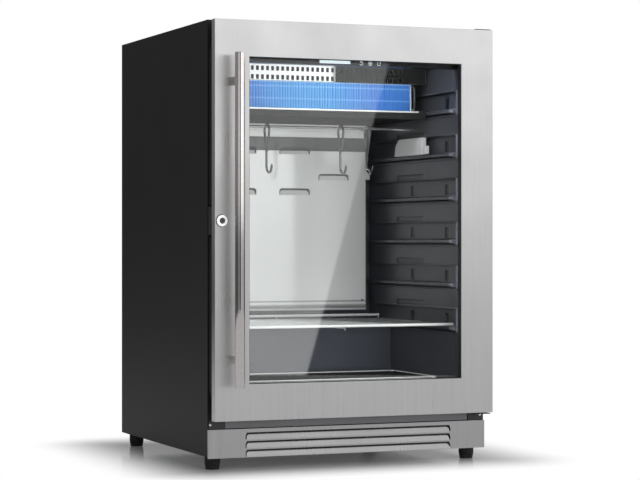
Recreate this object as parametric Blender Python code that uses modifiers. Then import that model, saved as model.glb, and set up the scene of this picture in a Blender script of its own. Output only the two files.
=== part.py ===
"""Dry aging cabinet: a 24-inch undercounter unit with a glazed steel door, in metres, +Z up.

The origin is at floor level, in the middle of the unit's width and of its depth with the handle.
The door faces -Y and is hinged on the right, at +X.
"""
import math

import bmesh
import bpy
from mathutils import Matrix, Vector

# Overall sizes
UNIT_WIDTH = 0.595
BODY_DEPTH = 0.610
BODY_HEIGHT = 0.846
FOOT_HEIGHT = 0.027

# Clearances and cutting
FIT = 0.0003
SLACK = 0.0010
OVERRUN = 0.020
EDGE = 0.0004
MERGE_DISTANCE = 0.00001

# Outer cabinet
SHEET = 0.0010
DOOR_DEPTH = 0.043
FLANGE_WIDTH = 0.036
BACK_INSET = 0.0010
BASE_WALL = 0.0015
BASE_LIP = 0.016
RAIL_DEPTH = 0.012
RAIL_HEIGHT = 0.056

# Liner, foam and machine compartment
LINER_WALL = 0.0012
SIDE_FOAM = 0.0385
LINER_FLOOR = 0.143
CEILING_FOAM = 0.040
BACK_FOAM = 0.075
STEP_LENGTH = 0.140
STEP_HEIGHT = 0.1185
FLOOR_FOAM = 0.030
STEP_FRONT_FOAM = 0.025
STEP_TOP_FOAM = 0.0215

# Rack walls
RACK_THICKNESS = 0.014
RACK_FRONT_DEPTH = 0.0545
RACK_BACK_GAP = 0.050
POCKET_COUNT = 6
LOWEST_POCKET_DROP = 0.0020
POCKET_HEIGHT_SHARE = 0.51744
POCKET_DEPTH = 0.0120
POCKET_FRONT_DEPTH = 0.064
POCKET_CHAMFER = 0.010
TOP_POCKET_DROP = 0.129
RUNNER_LIFT = 0.0030
RUNNER_HEIGHT = 0.0080
RUNNER_REACH = 0.0050
RUNNER_FRONT_DEPTH = 0.072
NOTCH_LENGTH = 0.146
NOTCH_PLACE_SHARE = 0.54471
NOTCH_RISE_SHARE = 0.12936
DIMPLE_WIDTH = 0.0070
DIMPLE_HEIGHT_SHARE = 0.4783
DIMPLE_RECESS = 0.0009
DIMPLE_PLACE_SHARES = (0.11963, 0.50987)

# Door
DOOR_TOP_GAP = 0.0020
DOOR_SILL_GAP = 0.0189
FRAME_WIDTH = 0.0705
DOOR_STEEL_DEPTH = 0.018
DOOR_STEEL_SHEET = 0.0010
INNER_FRAME_INSET = 0.014
INNER_FRAME_DEPTH = 0.0365
INNER_FRAME_LIP = 0.0040
GLASS_THICKNESS = 0.0040
GLASS_RECESS = 0.0110
GLASS_OVERLAP = 0.0100
GLASS_GAP = 0.0110
BEAD_LIP = 0.0020
BEAD_FLANGE = 0.0060
SPACER_WIDTH = 0.0085
GASKET_INSET = 0.016
GASKET_WIDTH = 0.014
GASKET_GROOVE = 0.0035

# Handle
HANDLE_RADIUS = 0.00975
HANDLE_STANDOFF = 0.034
HANDLE_OVERLAP = 0.00445
HANDLE_INSET = 0.0385
POST_RADIUS = 0.0084
POST_INSET = 0.0525

# Lock
LOCK_INSET = 0.0145
LOCK_DROP = 0.00095
ESCUTCHEON_RADIUS = 0.0112
ESCUTCHEON_PROUD = 0.0026
LOCK_BODY_RADIUS = 0.0080
PLUG_RADIUS = 0.0056
KEYWAY_WIDTH = 0.0014
KEYWAY_LENGTH = 0.0066
CAM_THICKNESS = 0.0018
CAM_LENGTH = 0.0115
CAM_WIDTH = 0.0060
STRIKE_HEIGHT = 0.054
STRIKE_SHEET = 0.0008
STRIKE_REACH = 0.0072
STRIKE_FOOT = 0.0120

# Hinges
HINGE_INSET_X = 0.0135
HINGE_INSET_Y = 0.0125
HINGE_PIN_RADIUS = 0.0030
HINGE_PIN_LENGTH = 0.0130
HINGE_PLATE = 0.0015
HINGE_PLATE_HALF_WIDTH = 0.0165
HINGE_PLATE_NOSE = 0.0065
LOWER_FLANGE_HEIGHT = 0.0158
UPPER_FLANGE_HEIGHT = 0.0142
BRACKET_SIDE_GAP = 0.0020

# Kick plate
KICK_PROUD = 0.0054
KICK_HEIGHT = 0.0555
KICK_DROP = 0.0025
LOUVRE_COUNT = 3
LOUVRE_END_MARGIN = 0.0765
LOUVRE_PITCH = 0.0167
LOUVRE_HEIGHT = 0.0130
LOUVRE_TOP_MARGIN = 0.0072
LOUVRE_SLIT = 0.0026
LOUVRE_CORNER = 0.0080
LOUVRE_LEAN = 0.0036

# Feet
FOOT_RADIUS = 0.0153
FOOT_PAD_TAPER = 0.0022
FOOT_PAD_HEIGHT = 0.0105
FOOT_GROOVE = 0.0012
FOOT_GROOVE_HEIGHT = 0.0010
STUD_RADIUS = 0.0040
STUD_LENGTH = 0.030
FOOT_INSET_X = 0.022
FOOT_FRONT_DEPTH = 0.077
FOOT_BACK_INSET = 0.038

# Control fascia and light
FASCIA_DEPTH = 0.052
FASCIA_THICKNESS = 0.028
FASCIA_HEIGHT = 0.045
FASCIA_SIDE_GAP = 0.0020
DISPLAY_WIDTH = 0.066
DISPLAY_HEIGHT = 0.0110
DISPLAY_PLACE_SHARE = -0.11317
DISPLAY_RISE = 0.0090
DISPLAY_THICKNESS = 0.0016
LIGHT_END_MARGIN = 0.043
LIGHT_WIDTH = 0.016
LIGHT_HEIGHT = 0.0060
LIGHT_SETBACK = 0.004

# Evaporator, its pan, grille and fan
EVAPORATOR_PLACE_SHARE = 0.43573
EVAPORATOR_THICKNESS = 0.074
EVAPORATOR_END_MARGIN = 0.040
EVAPORATOR_DROP = 0.1175
EVAPORATOR_HEIGHT = 0.0563
FIN_COUNT = 58
FIN_THICKNESS_SHARE = 0.36
FIN_DEPTH = 0.022
END_PLATE = 0.0015
END_PLATE_MARGIN = 0.0020
TUBE_RADIUS = 0.0022
BEND_REACH = 0.0150
BEND_MARGIN = 0.0030
BEND_SETBACK = 0.0120
PAN_LEAD = 0.0050
PAN_BACK_GAP = 0.0005
PAN_SIDE_GAP = 0.0060
PAN_DROP = 0.133
PAN_SHEET = 0.0010
PAN_LEDGE_GAP = 0.0004
GRILLE_LEAD = 0.0035
GRILLE_SHEET = 0.0012
GRILLE_SPAN_SHARE = 0.75941
GRILLE_COLUMNS = 34
GRILLE_HOLE_SHARE = 0.58182
GRILLE_LOWER_SHARES = (0.0327, 0.1885)
GRILLE_UPPER_SHARES = (0.3279, 0.4787)
BULKHEAD_PLACE_SHARE = 0.71895
BULKHEAD_SHEET = 0.0012
FAN_HALF_SIZE = 0.046
FAN_THICKNESS = 0.025
FAN_WALL = 0.0025
FAN_CLEARANCE = 0.0015
HUB_RADIUS = 0.0165
BLADE_COUNT = 7
BLADE_CHORD_SHARE = 0.9
BLADE_THICKNESS = 0.0012
BLADE_PITCH_DEGREES = 32
STRUT_COUNT = 3
STRUT_WIDTH = 0.0040
STRUT_THICKNESS = 0.0030
SPINDLE_RADIUS = 0.0020

# Rear panel
DUCT_DEPTH = 0.076
REAR_PANEL_SIDE_GAP = 0.0286
REAR_PANEL_LIFT = 0.0445
REAR_PANEL_TOP_GAP = 0.0010
AIR_SLOT_WIDTH_SHARE = 0.33272
AIR_SLOT_HEIGHT = 0.0140
AIR_SLOT_SLIT = 0.0060
AIR_SLOT_CORNER = 0.0066
AIR_SLOT_LEAN = 0.0060
AIR_SLOT_ROW_SHARES = ((0.14631, (-0.35582, 0.22181)), (0.29008, (-0.50832, 0.64695)),
                       (0.37252, (-0.35582, 0.22181)))
PANEL_GROOVE = 0.0035
PANEL_ROLL_RADIUS = 0.0050
PANEL_ROLL_PROUD = 0.0030

# Hanging rail and hooks
HANG_RAIL_RADIUS = 0.0030
HANG_RAIL_PLACE_SHARE = 0.58824
HANG_RAIL_DROP = 0.018
RAIL_SOCKET_DEPTH = 0.0060
HOOK_WIRE_RADIUS = 0.0020
HOOK_EYE_RADIUS = 0.0135
HOOK_EYE_LENGTH = 0.0420
HOOK_EYE_TAPER = 14
HOOK_NECK_GAP = 0.0032
HOOK_SHANK = 0.0300
HOOK_BEND_RADIUS = 0.0150
HOOK_PLACE_SHARES = (-0.36327, 0.31429, 0.56245)

# Sensor box and probe
SENSOR_LEAD = 0.065
SENSOR_LENGTH = 0.138
SENSOR_HEIGHT_SHARE = 0.68441
SENSOR_NOSE_SHARE = 0.61111
SENSOR_NOSE_LEAN = 0.0055
SENSOR_WIDTH = 0.0115
SENSOR_CAP_LENGTH = 0.0160
SENSOR_CAP_SHARE = 0.47222
SENSOR_POCKET = 1
PROBE_RADIUS = 0.0050
PROBE_EASE_SHARE = 0.3333
PROBE_LENGTH = 0.0240
PROBE_DROP = 0.119
PROBE_CLIP = 0.0020

# Shelf and tray
SHELF_FRONT_DEPTH = 0.0725
SHELF_BACK_GAP = 0.013
SHELF_SIDE_GAP = 0.0010
SHELF_FRONT_RADIUS = 0.0030
SHELF_SIDE_RADIUS = 0.0025
SHELF_WIRE_RADIUS = 0.0018
SHELF_WIRE_PITCH = 0.0305
SHELF_STOP_RISE = 0.0090
SHELF_WELD = 0.0017
TRAY_SIDE_GAP = 0.019
TRAY_FRONT_DEPTH = 0.105
TRAY_BACK_GAP = 0.070
TRAY_HEIGHT = 0.0225
TRAY_SHEET = 0.0010
TRAY_RIM = 0.0050
TRAY_CORNER = 0.012

# Compressor, condenser and the rest of the machine compartment
COMPRESSOR_PLACE_SHARE = 0.36975
COMPRESSOR_BACK_GAP = 0.098
COMPRESSOR_RADIUS = 0.062
COMPRESSOR_HEIGHT = 0.150
DISCHARGE_DROP = 0.05
COMPRESSOR_SEAM = 0.0040
MOUNT_HALF_WIDTH = 0.075
MOUNT_HALF_DEPTH = 0.060
MOUNT_SHEET = 0.0030
GROMMET_RADIUS = 0.0090
GROMMET_HEIGHT = 0.0140
CONDENSER_HALF_LENGTH = 0.085
CONDENSER_PLACE_SHARE = -0.33613
CONDENSER_FRONT_DEPTH = 0.100
CONDENSER_THICKNESS = 0.060
CONDENSER_HEIGHT = 0.076
CONDENSER_FIN_COUNT = 16
CONDENSER_FAN_HALF_SIZE = 0.038
CONDENSER_FAN_GAP = 0.0020
CONDENSER_FAN_THICKNESS = 0.025
SMALL_HUB_RADIUS = 0.0135
WATER_PAN_X_SHARES = (-0.89076, -0.20168)
WATER_PAN_LENGTH = 0.125
WATER_PAN_BACK_GAP = 0.035
WATER_PAN_HEIGHT = 0.034
WATER_PAN_WALL = 0.0018
CONTROL_BOX_X_SHARES = (-0.80672, -0.33613)
CONTROL_BOX_LENGTH = 0.105
CONTROL_BOX_BACK_GAP = 0.050
CONTROL_BOX_HEIGHT = 0.052
PIPE_RADIUS = 0.0032

# Machine cover and power inlet
COVER_RISE = 0.0355
COVER_SLOT_COUNT = 9
COVER_SLOT_PITCH = 0.0160
COVER_SLOT_WIDTH = 0.0060
COVER_SLOT_LENGTH = 0.090
COVER_SLOT_BOTTOM = 0.090
COVER_SLOT_PLACE_SHARE = 0.36975
INLET_PLACE_SHARE = -0.63866
INLET_Z = 0.110
INLET_HALF_WIDTH = 0.0140
INLET_HALF_HEIGHT = 0.0105
INLET_FLANGE = 0.0040
INLET_BODY_DEPTH = 0.024
INLET_WALL = 0.0020
INLET_FLOOR = 0.0040
INLET_PIN_HALF_WIDTH = 0.0010
INLET_PIN_HALF_HEIGHT = 0.0020
INLET_PIN_LENGTH = 0.014
INLET_PIN_SPACING = 0.0070
INLET_PIN_DROP = 0.0040

# Counts of sides and steps
ROUND_STEPS = 32
MIDDLE_STEPS = 24
SMALL_STEPS = 12
WIRE_STEPS = 8
WIRE_RESOLUTION = 2

# Places worked out from the sizes above
HALF_WIDTH = UNIT_WIDTH / 2
HANDLE_REACH = HANDLE_STANDOFF + HANDLE_RADIUS
FRONT_Y = (HANDLE_REACH - BODY_DEPTH) / 2
BACK_Y = FRONT_Y + BODY_DEPTH
BODY_FRONT_Y = FRONT_Y + DOOR_DEPTH
BODY_BOTTOM = FOOT_HEIGHT
BODY_TOP = FOOT_HEIGHT + BODY_HEIGHT
KICK_BOTTOM = BODY_BOTTOM - KICK_DROP
KICK_TOP = KICK_BOTTOM + KICK_HEIGHT
DOOR_BOTTOM = KICK_TOP + DOOR_SILL_GAP
DOOR_TOP = BODY_TOP - DOOR_TOP_GAP
DOOR_MIDDLE = (DOOR_BOTTOM + DOOR_TOP) / 2
DOOR_HALF_HEIGHT = (DOOR_TOP - DOOR_BOTTOM) / 2
OPENING_HALF_WIDTH = HALF_WIDTH - FRAME_WIDTH
OPENING_HALF_HEIGHT = DOOR_HALF_HEIGHT - FRAME_WIDTH
HINGE_X = HALF_WIDTH - HINGE_INSET_X
HINGE_Y = FRONT_Y + HINGE_INSET_Y
RAIL_BOTTOM = KICK_TOP + SLACK
RAIL_TOP = RAIL_BOTTOM + RAIL_HEIGHT
SKIN_BACK_Y = BACK_Y - BACK_INSET - SHEET
BASE_FLOOR = BODY_BOTTOM + BASE_WALL
LOCK_X = LOCK_INSET - HALF_WIDTH
HANDLE_X = HANDLE_INSET - HALF_WIDTH
HANDLE_Y = FRONT_Y - HANDLE_STANDOFF
FOOT_X = HALF_WIDTH - FOOT_INSET_X
FOOT_FRONT_Y = FRONT_Y + FOOT_FRONT_DEPTH
FOOT_BACK_Y = BACK_Y - FOOT_BACK_INSET
GLASS_FRONT_Y = FRONT_Y + DOOR_STEEL_SHEET + GLASS_RECESS + FIT
INNER_GLASS_Y = GLASS_FRONT_Y + GLASS_THICKNESS + GLASS_GAP + FIT + FIT
CAM_FRONT_Y = FRONT_Y + DOOR_STEEL_DEPTH + FIT + STRIKE_SHEET + FIT + FIT
# Cavity places worked out from the sizes above
LINER_HALF_WIDTH = HALF_WIDTH - SIDE_FOAM
LINER_CEILING = BODY_TOP - CEILING_FOAM
LINER_BACK_DEPTH = BODY_DEPTH - BACK_FOAM
STEP_FRONT_DEPTH = LINER_BACK_DEPTH - STEP_LENGTH
STEP_TOP = LINER_FLOOR + STEP_HEIGHT
FOAM_FLOOR = LINER_FLOOR - FLOOR_FOAM
MACHINE_FRONT_DEPTH = STEP_FRONT_DEPTH + STEP_FRONT_FOAM
MACHINE_TOP = STEP_TOP - STEP_TOP_FOAM
RACK_FACE = LINER_HALF_WIDTH - RACK_THICKNESS
RACK_BACK_DEPTH = LINER_BACK_DEPTH - RACK_BACK_GAP
RACK_LENGTH = RACK_BACK_DEPTH - RACK_FRONT_DEPTH
TOP_POCKET_FLOOR = LINER_CEILING - TOP_POCKET_DROP
LOWEST_POCKET_FLOOR = STEP_TOP - LOWEST_POCKET_DROP
POCKET_PITCH = (TOP_POCKET_FLOOR - LOWEST_POCKET_FLOOR) / (POCKET_COUNT - 1)
POCKET_HEIGHT = POCKET_PITCH * POCKET_HEIGHT_SHARE
NOTCH_DEPTH_CENTRE = RACK_FRONT_DEPTH + RACK_LENGTH * NOTCH_PLACE_SHARE
NOTCH_RISE = POCKET_PITCH * NOTCH_RISE_SHARE
DIMPLE_HEIGHT = POCKET_HEIGHT * DIMPLE_HEIGHT_SHARE
REAR_PANEL_DEPTH = LINER_BACK_DEPTH - DUCT_DEPTH
REAR_PANEL_HALF_WIDTH = RACK_FACE - REAR_PANEL_SIDE_GAP
PAN_BOTTOM = LINER_CEILING - PAN_DROP
PAN_HALF_WIDTH = RACK_FACE - PAN_SIDE_GAP
PAN_LEDGE_REACH = RACK_FACE - PAN_LEDGE_GAP
REAR_PANEL_TOP = PAN_BOTTOM - REAR_PANEL_TOP_GAP
REAR_PANEL_BOTTOM = STEP_TOP + REAR_PANEL_LIFT
AIR_SLOT_WIDTH = REAR_PANEL_HALF_WIDTH * AIR_SLOT_WIDTH_SHARE
EVAPORATOR_FRONT_DEPTH = REAR_PANEL_DEPTH * EVAPORATOR_PLACE_SHARE
EVAPORATOR_HALF_LENGTH = RACK_FACE - EVAPORATOR_END_MARGIN
EVAPORATOR_BOTTOM = LINER_CEILING - EVAPORATOR_DROP
EVAPORATOR_TOP = EVAPORATOR_BOTTOM + EVAPORATOR_HEIGHT
PAN_FRONT_DEPTH = EVAPORATOR_FRONT_DEPTH - PAN_LEAD
PAN_BACK_DEPTH = REAR_PANEL_DEPTH - PAN_BACK_GAP
GRILLE_DEPTH = EVAPORATOR_FRONT_DEPTH - GRILLE_LEAD
GRILLE_HALF_WIDTH = PAN_HALF_WIDTH
GRILLE_PITCH = 2 * GRILLE_HALF_WIDTH * GRILLE_SPAN_SHARE / (GRILLE_COLUMNS - 1)
GRILLE_HOLE_WIDTH = GRILLE_PITCH * GRILLE_HOLE_SHARE
BULKHEAD_DEPTH = REAR_PANEL_DEPTH * BULKHEAD_PLACE_SHARE
FAN_CENTRE_Z = (PAN_BOTTOM + LINER_CEILING) / 2
FASCIA_BOTTOM = LINER_CEILING - FASCIA_HEIGHT
FASCIA_HALF_WIDTH = RACK_FACE - FASCIA_SIDE_GAP
DISPLAY_CENTRE_X = FASCIA_HALF_WIDTH * DISPLAY_PLACE_SHARE
DISPLAY_BOTTOM = FASCIA_BOTTOM + DISPLAY_RISE
LIGHT_HALF_LENGTH = FASCIA_HALF_WIDTH - LIGHT_END_MARGIN
HANG_RAIL_DEPTH = REAR_PANEL_DEPTH * HANG_RAIL_PLACE_SHARE
HANG_RAIL_HEIGHT = PAN_BOTTOM - HANG_RAIL_DROP
SENSOR_FRONT_DEPTH = HANG_RAIL_DEPTH - SENSOR_LEAD
SENSOR_FACE = RACK_FACE - SENSOR_WIDTH
PROBE_HEIGHT = REAR_PANEL_TOP - PROBE_DROP
SHELF_BACK_DEPTH = REAR_PANEL_DEPTH - SHELF_BACK_GAP
SHELF_HALF_WIDTH = RACK_FACE - SHELF_SIDE_GAP
TRAY_HALF_WIDTH = RACK_FACE - TRAY_SIDE_GAP
TRAY_BACK_DEPTH = STEP_FRONT_DEPTH - TRAY_BACK_GAP

# Other places worked out from the sizes above
HANDLE_LENGTH = 2 * (OPENING_HALF_HEIGHT + HANDLE_OVERLAP)
POST_SPACING = HANDLE_LENGTH - 2 * POST_INSET
LOCK_HEIGHT = DOOR_MIDDLE - LOCK_DROP
LOUVRE_LENGTH = UNIT_WIDTH - 2 * LOUVRE_END_MARGIN
COMPRESSOR_X = HALF_WIDTH * COMPRESSOR_PLACE_SHARE
COMPRESSOR_Y = BACK_Y - COMPRESSOR_BACK_GAP
CONDENSER_PLACE_X = HALF_WIDTH * CONDENSER_PLACE_SHARE
COVER_TOP = STEP_TOP + COVER_RISE
COVER_SLOT_CENTRE_X = HALF_WIDTH * COVER_SLOT_PLACE_SHARE
INLET_X = HALF_WIDTH * INLET_PLACE_SHARE

PARTS_NAME = "dry_aging_cabinet"
CUTTERS_NAME = "cutters"


def clear_scene():
    """Remove every object, and start two fresh collections."""
    for item in list(bpy.data.objects):
        bpy.data.objects.remove(item, do_unlink=True)
    for name in (PARTS_NAME, CUTTERS_NAME):
        found = bpy.data.collections.get(name)
        if found is None:
            found = bpy.data.collections.new(name)
            bpy.context.scene.collection.children.link(found)


def finish(name, colour, roughness, metallic=0.0):
    """Make a plain material with a Principled shader."""
    material = bpy.data.materials.new(name)
    material.use_nodes = True
    shader = material.node_tree.nodes["Principled BSDF"]
    shader.inputs["Base Color"].default_value = (*colour, 1.0)
    shader.inputs["Roughness"].default_value = roughness
    shader.inputs["Metallic"].default_value = metallic
    material.diffuse_color = (*colour, 1.0)
    return material


def make_finishes():
    """Return the finishes by name."""
    return {
        "black_coat": finish("black_coat", (0.022, 0.021, 0.020), 0.45),
        "brushed_steel": finish("brushed_steel", (0.60, 0.59, 0.57), 0.30, 1.0),
        "bright_steel": finish("bright_steel", (0.75, 0.75, 0.76), 0.12, 1.0),
        "plated_steel": finish("plated_steel", (0.45, 0.46, 0.47), 0.40, 1.0),
        "black_steel": finish("black_steel", (0.012, 0.012, 0.013), 0.40),
        "black_plastic": finish("black_plastic", (0.015, 0.015, 0.017), 0.45),
        "liner_plastic": finish("liner_plastic", (0.040, 0.044, 0.052), 0.42),
        "grey_plastic": finish("grey_plastic", (0.42, 0.43, 0.44), 0.40),
        "white_plastic": finish("white_plastic", (0.85, 0.86, 0.88), 0.35),
        "gasket_rubber": finish("gasket_rubber", (0.010, 0.010, 0.011), 0.60),
        "glass": finish("glass", (0.80, 0.86, 0.88), 0.02),
        "blue_fins": finish("blue_fins", (0.03, 0.12, 0.42), 0.35, 0.6),
        "copper": finish("copper", (0.72, 0.38, 0.24), 0.28, 1.0),
        "aluminium": finish("aluminium", (0.70, 0.71, 0.72), 0.35, 1.0),
        "foam": finish("foam", (0.72, 0.64, 0.40), 0.80),
        "display": finish("display", (0.75, 0.86, 0.95), 0.15),
    }


def collect(item, cutter=False):
    """Put an object into the parts' collection, or hide it among the cutters."""
    for holder in list(item.users_collection):
        holder.objects.unlink(item)
    if cutter:
        bpy.data.collections[CUTTERS_NAME].objects.link(item)
        item.hide_render = True
        item.display_type = "WIRE"
    else:
        bpy.data.collections[PARTS_NAME].objects.link(item)
    return item


def from_bmesh(name, bm, material=None, origin=(0, 0, 0), cutter=False):
    """Turn a bmesh in world places into an object whose origin is where it is asked for."""
    bmesh.ops.translate(bm, verts=bm.verts, vec=-Vector(origin))
    mesh = bpy.data.meshes.new(name)
    bm.to_mesh(mesh)
    bm.free()
    item = bpy.data.objects.new(name, mesh)
    item.location = origin
    if material is not None:
        mesh.materials.append(material)
    bpy.context.scene.collection.objects.link(item)
    return collect(item, cutter)


def add_box(bm, x, y, z):
    """Add a box to a bmesh, from its low and high places along each axis."""
    size = Vector((x[1] - x[0], y[1] - y[0], z[1] - z[0]))
    middle = Vector((x[1] + x[0], y[1] + y[0], z[1] + z[0])) / 2
    made = bmesh.ops.create_cube(bm, size=1)["verts"]
    bmesh.ops.scale(bm, verts=made, vec=size)
    bmesh.ops.translate(bm, verts=made, vec=middle)
    return made


def box(name, x, y, z, material=None, origin=None, cutter=False):
    """One box."""
    bm = bmesh.new()
    add_box(bm, x, y, z)
    middle = ((x[0] + x[1]) / 2, (y[0] + y[1]) / 2, (z[0] + z[1]) / 2)
    return from_bmesh(name, bm, material, origin or middle, cutter)


def boxes(name, places, material=None, origin=(0, 0, 0), cutter=False):
    """Several boxes that stand apart, in one object."""
    bm = bmesh.new()
    for x, y, z in places:
        add_box(bm, x, y, z)
    return from_bmesh(name, bm, material, origin, cutter)


def add_round(bm, start, end, radius, end_radius=None, steps=ROUND_STEPS):
    """Add a capped cylinder or cone between two points."""
    run = Vector(end) - Vector(start)
    turn = run.to_track_quat("Z", "Y").to_matrix().to_4x4()
    place = Matrix.Translation((Vector(start) + Vector(end)) / 2) @ turn
    last = radius if end_radius is None else end_radius
    made = bmesh.ops.create_cone(bm, cap_ends=True, segments=steps, radius1=radius, radius2=last,
                                 depth=run.length, matrix=place)
    return made["verts"]


def round_bar(name, start, end, radius, material=None, end_radius=None, steps=ROUND_STEPS,
              origin=None, cutter=False):
    """One capped cylinder or cone between two points."""
    bm = bmesh.new()
    add_round(bm, start, end, radius, end_radius, steps)
    middle = (Vector(start) + Vector(end)) / 2
    item = from_bmesh(name, bm, material, origin or middle, cutter)
    if not cutter:
        smooth(item)
    return item


def smooth(item, angle_degrees=35):
    """Shade round faces smooth, and keep the sharp edges."""
    item.data.shade_smooth()
    item.data.set_sharp_from_angle(angle=math.radians(angle_degrees))
    return item


def modify(item, kind, name, **values):
    """Add a modifier and set its values."""
    added = item.modifiers.new(name, kind)
    for key, value in values.items():
        setattr(added, key, value)
    return added


def cut(item, *cutters):
    """Take cutters out of an object."""
    for cutter in cutters:
        modify(item, "BOOLEAN", "cut", operation="DIFFERENCE", object=cutter, solver="EXACT")
    return item


def join(item, *added):
    """Add overlapping solids to an object, and keep them hidden."""
    for other in added:
        modify(item, "BOOLEAN", "join", operation="UNION", object=other, solver="EXACT")
    return item


def soften(item, width=EDGE, segments=2, angle_degrees=40):
    """Round the sharp edges."""
    modify(item, "BEVEL", "edges", width=width, segments=segments, limit_method="ANGLE",
           angle_limit=math.radians(angle_degrees))
    return item


def turned(name, profile, axis_place, axis, material=None, steps=ROUND_STEPS, cutter=False):
    """Turn a profile of (radius, height) points, listed from the top down, about an axis."""
    mesh = bpy.data.meshes.new(name)
    points = [(radius, 0, height) for radius, height in profile]
    edges = [(index, index + 1) for index in range(len(points) - 1)]
    mesh.from_pydata(points, edges, [])
    item = bpy.data.objects.new(name, mesh)
    if material is not None:
        mesh.materials.append(material)
    bpy.context.scene.collection.objects.link(item)
    item.location = axis_place
    item.rotation_euler = Vector(axis).to_track_quat("Z", "Y").to_euler()
    modify(item, "SCREW", "turn", steps=steps, render_steps=steps, use_merge_vertices=True,
           merge_threshold=MERGE_DISTANCE, use_smooth_shade=True)
    return collect(item, cutter)


def outline(name, loops, low, high, axis, material=None, cutter=False):
    """Extrude a flat outline, whose later loops are holes, from low to high along an axis."""
    curve = bpy.data.curves.new(name, "CURVE")
    curve.dimensions = "2D"
    curve.fill_mode = "BOTH"
    curve.extrude = (high - low) / 2
    for points in loops:
        spline = curve.splines.new("POLY")
        spline.points.add(len(points) - 1)
        for point, place in zip(spline.points, points):
            point.co = (place[0], place[1], 0, 1)
        spline.use_cyclic_u = True
    sheet = bpy.data.objects.new(name, curve)
    bpy.context.scene.collection.objects.link(sheet)
    middle = (high + low) / 2
    if axis == "X":
        turn = Matrix(((0, 0, 1, middle), (1, 0, 0, 0), (0, 1, 0, 0), (0, 0, 0, 1)))
    elif axis == "Y":
        turn = Matrix(((1, 0, 0, 0), (0, 0, -1, middle), (0, 1, 0, 0), (0, 0, 0, 1)))
    else:
        turn = Matrix(((1, 0, 0, 0), (0, 1, 0, 0), (0, 0, 1, middle), (0, 0, 0, 1)))
    sheet.matrix_world = turn
    return to_mesh(sheet, material, cutter)


def to_mesh(source, material=None, cutter=False):
    """Replace a curve object by its mesh, with its caps welded on."""
    bpy.context.view_layer.update()
    evaluated = source.evaluated_get(bpy.context.evaluated_depsgraph_get())
    mesh = bpy.data.meshes.new_from_object(evaluated)
    bm = bmesh.new()
    bm.from_mesh(mesh)
    bmesh.ops.transform(bm, matrix=source.matrix_world, verts=bm.verts)
    bmesh.ops.remove_doubles(bm, verts=bm.verts, dist=MERGE_DISTANCE)
    bmesh.ops.recalc_face_normals(bm, faces=bm.faces)
    bm.to_mesh(mesh)
    bm.free()
    name = source.name
    bpy.data.objects.remove(source, do_unlink=True)
    mesh.materials.clear()
    if material is not None:
        mesh.materials.append(material)
    item = bpy.data.objects.new(name, mesh)
    bpy.context.scene.collection.objects.link(item)
    return collect(item, cutter)


def tube(name, points, radius, material=None, resolution=WIRE_RESOLUTION, origin=(0, 0, 0), cutter=False):
    """A round wire through points, with closed ends."""
    curve = bpy.data.curves.new(name, "CURVE")
    curve.dimensions = "3D"
    curve.bevel_depth = radius
    curve.bevel_resolution = resolution
    curve.use_fill_caps = True
    spline = curve.splines.new("POLY")
    spline.points.add(len(points) - 1)
    for point, place in zip(spline.points, points):
        point.co = (*place, 1)
    wire = bpy.data.objects.new(name, curve)
    bpy.context.scene.collection.objects.link(wire)
    item = to_mesh(wire, material, cutter)
    item.data.transform(Matrix.Translation(-Vector(origin)))
    item.location = origin
    if not cutter:
        smooth(item)
    return item


def arc(centre, radius, start_degrees, end_degrees, steps):
    """Points along a circle, in the order of travel."""
    points = []
    for index in range(steps + 1):
        angle = math.radians(start_degrees + (end_degrees - start_degrees) * index / steps)
        points.append((centre[0] + radius * math.cos(angle), centre[1] + radius * math.sin(angle)))
    return points


def rectangle(half_width, low, high, centre=0.0):
    """The corners of an upright rectangle."""
    left = centre - half_width
    right = centre + half_width
    return [(left, low), (right, low), (right, high), (left, high)]


def rounded_rectangle(x, z, radius, steps=3):
    """A rectangle with four round corners."""
    points = []
    for centre, start in (((x[1] - radius, z[0] + radius), -90), ((x[1] - radius, z[1] - radius), 0),
                          ((x[0] + radius, z[1] - radius), 90), ((x[0] + radius, z[0] + radius), 180)):
        points += arc(centre, radius, start, start + 90, steps)
    return points


def round_top(x, z, radius, steps=4):
    """A rectangle whose two upper corners are round."""
    points = [(x[0], z[0]), (x[1], z[0])]
    points += arc((x[1] - radius, z[1] - radius), radius, 0, 90, steps)
    points += arc((x[0] + radius, z[1] - radius), radius, 90, 180, steps)
    return points


def parent(child, holder):
    """Hang an object on another and keep its place."""
    bpy.context.view_layer.update()
    child.parent = holder
    child.matrix_parent_inverse = holder.matrix_world.inverted()


def pivot(name, place):
    """An empty on a joint's axis."""
    item = bpy.data.objects.new(name, None)
    item.location = place
    bpy.context.scene.collection.objects.link(item)
    return collect(item)


# The outer cabinet


def make_outer_wrap(finishes):
    """Sides, top and front flange of the outer shell, from one folded sheet."""
    shell = box("outer_wrap", (-HALF_WIDTH, HALF_WIDTH), (BODY_FRONT_Y, BACK_Y), (BODY_BOTTOM, BODY_TOP),
                finishes["black_coat"])
    hollow = box("wrap_hollow", (SHEET - HALF_WIDTH, HALF_WIDTH - SHEET),
                 (BODY_FRONT_Y + SHEET, BACK_Y + OVERRUN), (BODY_BOTTOM - OVERRUN,
                                                            BODY_TOP - SHEET), cutter=True)
    half = HALF_WIDTH - FLANGE_WIDTH
    mouth = box("wrap_mouth", (-half, half), (BODY_FRONT_Y - OVERRUN, BODY_FRONT_Y + OVERRUN),
                (BODY_BOTTOM - OVERRUN, BODY_TOP - FLANGE_WIDTH), cutter=True)
    return soften(cut(shell, hollow, mouth))


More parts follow.
